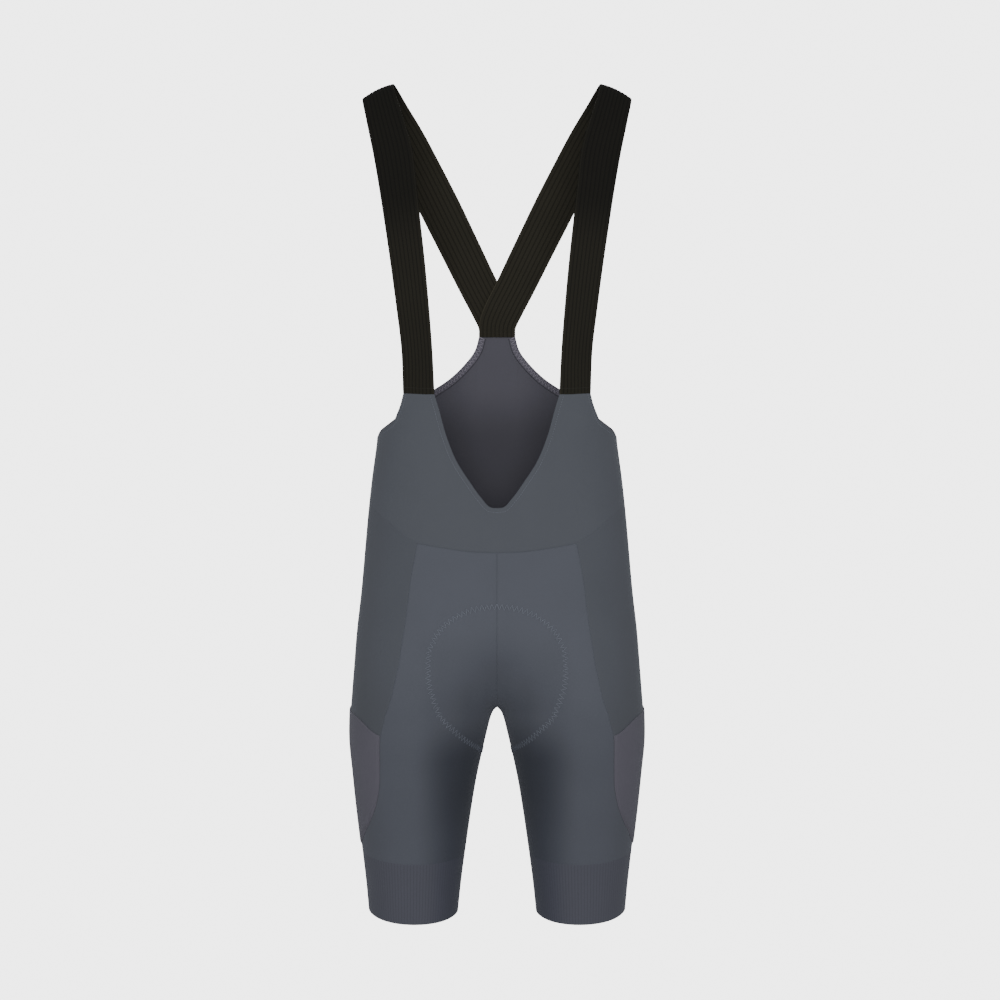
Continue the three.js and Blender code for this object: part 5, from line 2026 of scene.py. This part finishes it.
    def tapes(self, back: Cloth, marks: Marks) -> None:
        """Sews the tape to the back panel's inner face, a zigzag and a straight row.

        Args:
            back: the back bib's half.
            marks: where the flat top starts.
        """
        part = slice(0, marks.back_start + 1)
        top, row = back.at[0, part], back.at[self.ROW_BELOW, part]
        middle = self.beside(top, row, TAPE_DROP + TAPE_WIDTH / 2)
        face = -CLOTH_WALL - LAY_GAP - TAPE_WALL
        zigzag = self.zigzag(middle, *self.TAPE_ZIGZAG, face)
        self.add_both("tape_zigzag", "tape", "tape_thread", zigzag, self.THICK_THREAD)
        below = self.beside(top, row, TAPE_DROP + TAPE_WIDTH + 0.6)
        row_below = self.running(below, *self.DARK_STITCH, -CLOTH_WALL - 0.1)
        self.add_both("tape_stitches", "back", "dark_thread", row_below, self.DARK_THREAD)

    def pad(self) -> None:
        """Sews the pad's outline, front and back."""
        shares = np.linspace(0, 1, 120)
        for name, rows in (("front", PAD_FRONT), ("back", PAD_BACK)):
            lines = [SKIN.points(Line.trace(row).at(shares)) for row in rows]
            outline = np.concatenate([lines[0], *(line[1:] for line in lines[1:])])
            threads = self.zigzag(outline, *self.PAD_ZIGZAG, 0.25)
            self.add_both(f"pad_stitches_{name}", "panel", "thread", threads, self.THICK_THREAD)

    def straps(self, straps: dict[str, Cloth]) -> None:
        """Sews a straight row across each end of each strap.

        Args:
            straps: the straps by side.
        """
        for side, strap in straps.items():
            way = travelled(strap.at[:, 0])
            threads: Threads = []
            for place in (STRAP_HEM, way[-1] - STRAP_HEM):
                row = int(np.argmin(np.abs(way - place)))
                for face in (STRAP_RIDGE * 0.4, -STRAP_VALLEY + 0.1):
                    line = strap.at[row, 2:-2] + strap.out[row, 2:-2] * face
                    threads.append((line, strap.out[row, 2:-2]))
            self.add(f"strap_stitches_{side}", "elastic", "strap_thread", threads, self.STRAP_THREAD)


class Studio:
    """The camera, the light and the plain pale surroundings."""

    CAMERA_AT = (0.00336, -2.6, -0.45584)
    LENS = 83.57
    LIGHTS = (
        ("left_light", (3.2, -0.7, 0.1), 2.0, 24.0),
        ("right_light", (-3.2, -0.7, 0.1), 2.0, 24.0),
        ("front_light", (0.0, -3.4, 0.1), 1.6, 76.0),
        ("low_light", (0.0, -2.6, -2.2), 1.2, 9.0),
        ("back_light", (0.0, 2.6, 0.6), 2.4, 50.0),
    )

    def build(self) -> None:
        """Builds the camera, lights and world."""
        camera = bpy.data.cameras.new("camera")
        camera.lens = self.LENS
        camera.sensor_width = 36.0
        holder = bpy.data.objects.new("camera", camera)
        holder.location = self.CAMERA_AT
        holder.rotation_euler = (math.pi / 2, 0.0, 0.0)
        bpy.context.scene.collection.objects.link(holder)
        bpy.context.scene.camera = holder
        for light in self.LIGHTS:
            self.area(*light)
        self.world()

    def area(self, name: str, place: tuple[float, float, float], size: float, power: float) -> None:
        """Adds a square light that faces the garment's middle.

        Args:
            name: of the light.
            place: in metres.
            size: of its side.
            power: in watts.
        """
        light = bpy.data.lights.new(name, "AREA")
        light.size = size
        light.energy = power
        holder = bpy.data.objects.new(name, light)
        holder.location = place
        toward = Vector((0.0, 0.0, -0.5)) - Vector(place)
        holder.rotation_euler = toward.to_track_quat("-Z", "Y").to_euler()
        bpy.context.scene.collection.objects.link(holder)

    def world(self) -> None:
        """Lights the surroundings evenly, pale grey as the photograph's background."""
        world = bpy.data.worlds.new("studio")
        world.use_nodes = True
        bpy.context.scene.world = world
        b = NodeBuilder(world.node_tree)
        shown = world.node_tree.nodes["Background"]
        shown.inputs["Color"].default_value = Dye(235, 235, 235).linear()
        shown.inputs["Strength"].default_value = 5.0
        lighting = b.node("ShaderNodeBackground")
        lighting.inputs["Color"].default_value = (0.97, 0.985, 1.0, 1.0)
        lighting.inputs["Strength"].default_value = 0.2
        mix = b.node("ShaderNodeMixShader")
        b.put(mix.inputs[0], b.node("ShaderNodeLightPath").outputs["Is Camera Ray"])
        b.put(mix.inputs[1], lighting.outputs[0])
        b.put(mix.inputs[2], shown.outputs[0])
        b.put(world.node_tree.nodes["World Output"].inputs["Surface"], mix.outputs[0])


def main() -> None:
    """Builds the garment and its surroundings."""
    logging.basicConfig(level=logging.INFO, format="%(name)s %(message)s")
    Studio().build()
    fabrics = Fabrics()
    pattern = Pattern()
    marks = pattern.marks()
    cloths = SkinPieces(pattern, fabrics).build()
    straps = Straps(fabrics).build(cloths["front_bib"], cloths["back_bib"], marks)
    EdgeTapes(fabrics).build(cloths["whole_back"], marks.back_start)
    SeatPad(fabrics).build(cloths["front_leg"], cloths["back_leg"])
    sewing = Sewing(fabrics)
    sewing.edges(cloths["front_bib"], cloths["back_bib"], marks)
    sewing.tapes(cloths["back_bib"], marks)
    sewing.pad()
    sewing.straps(straps)


if __name__ == "__main__":
    main()
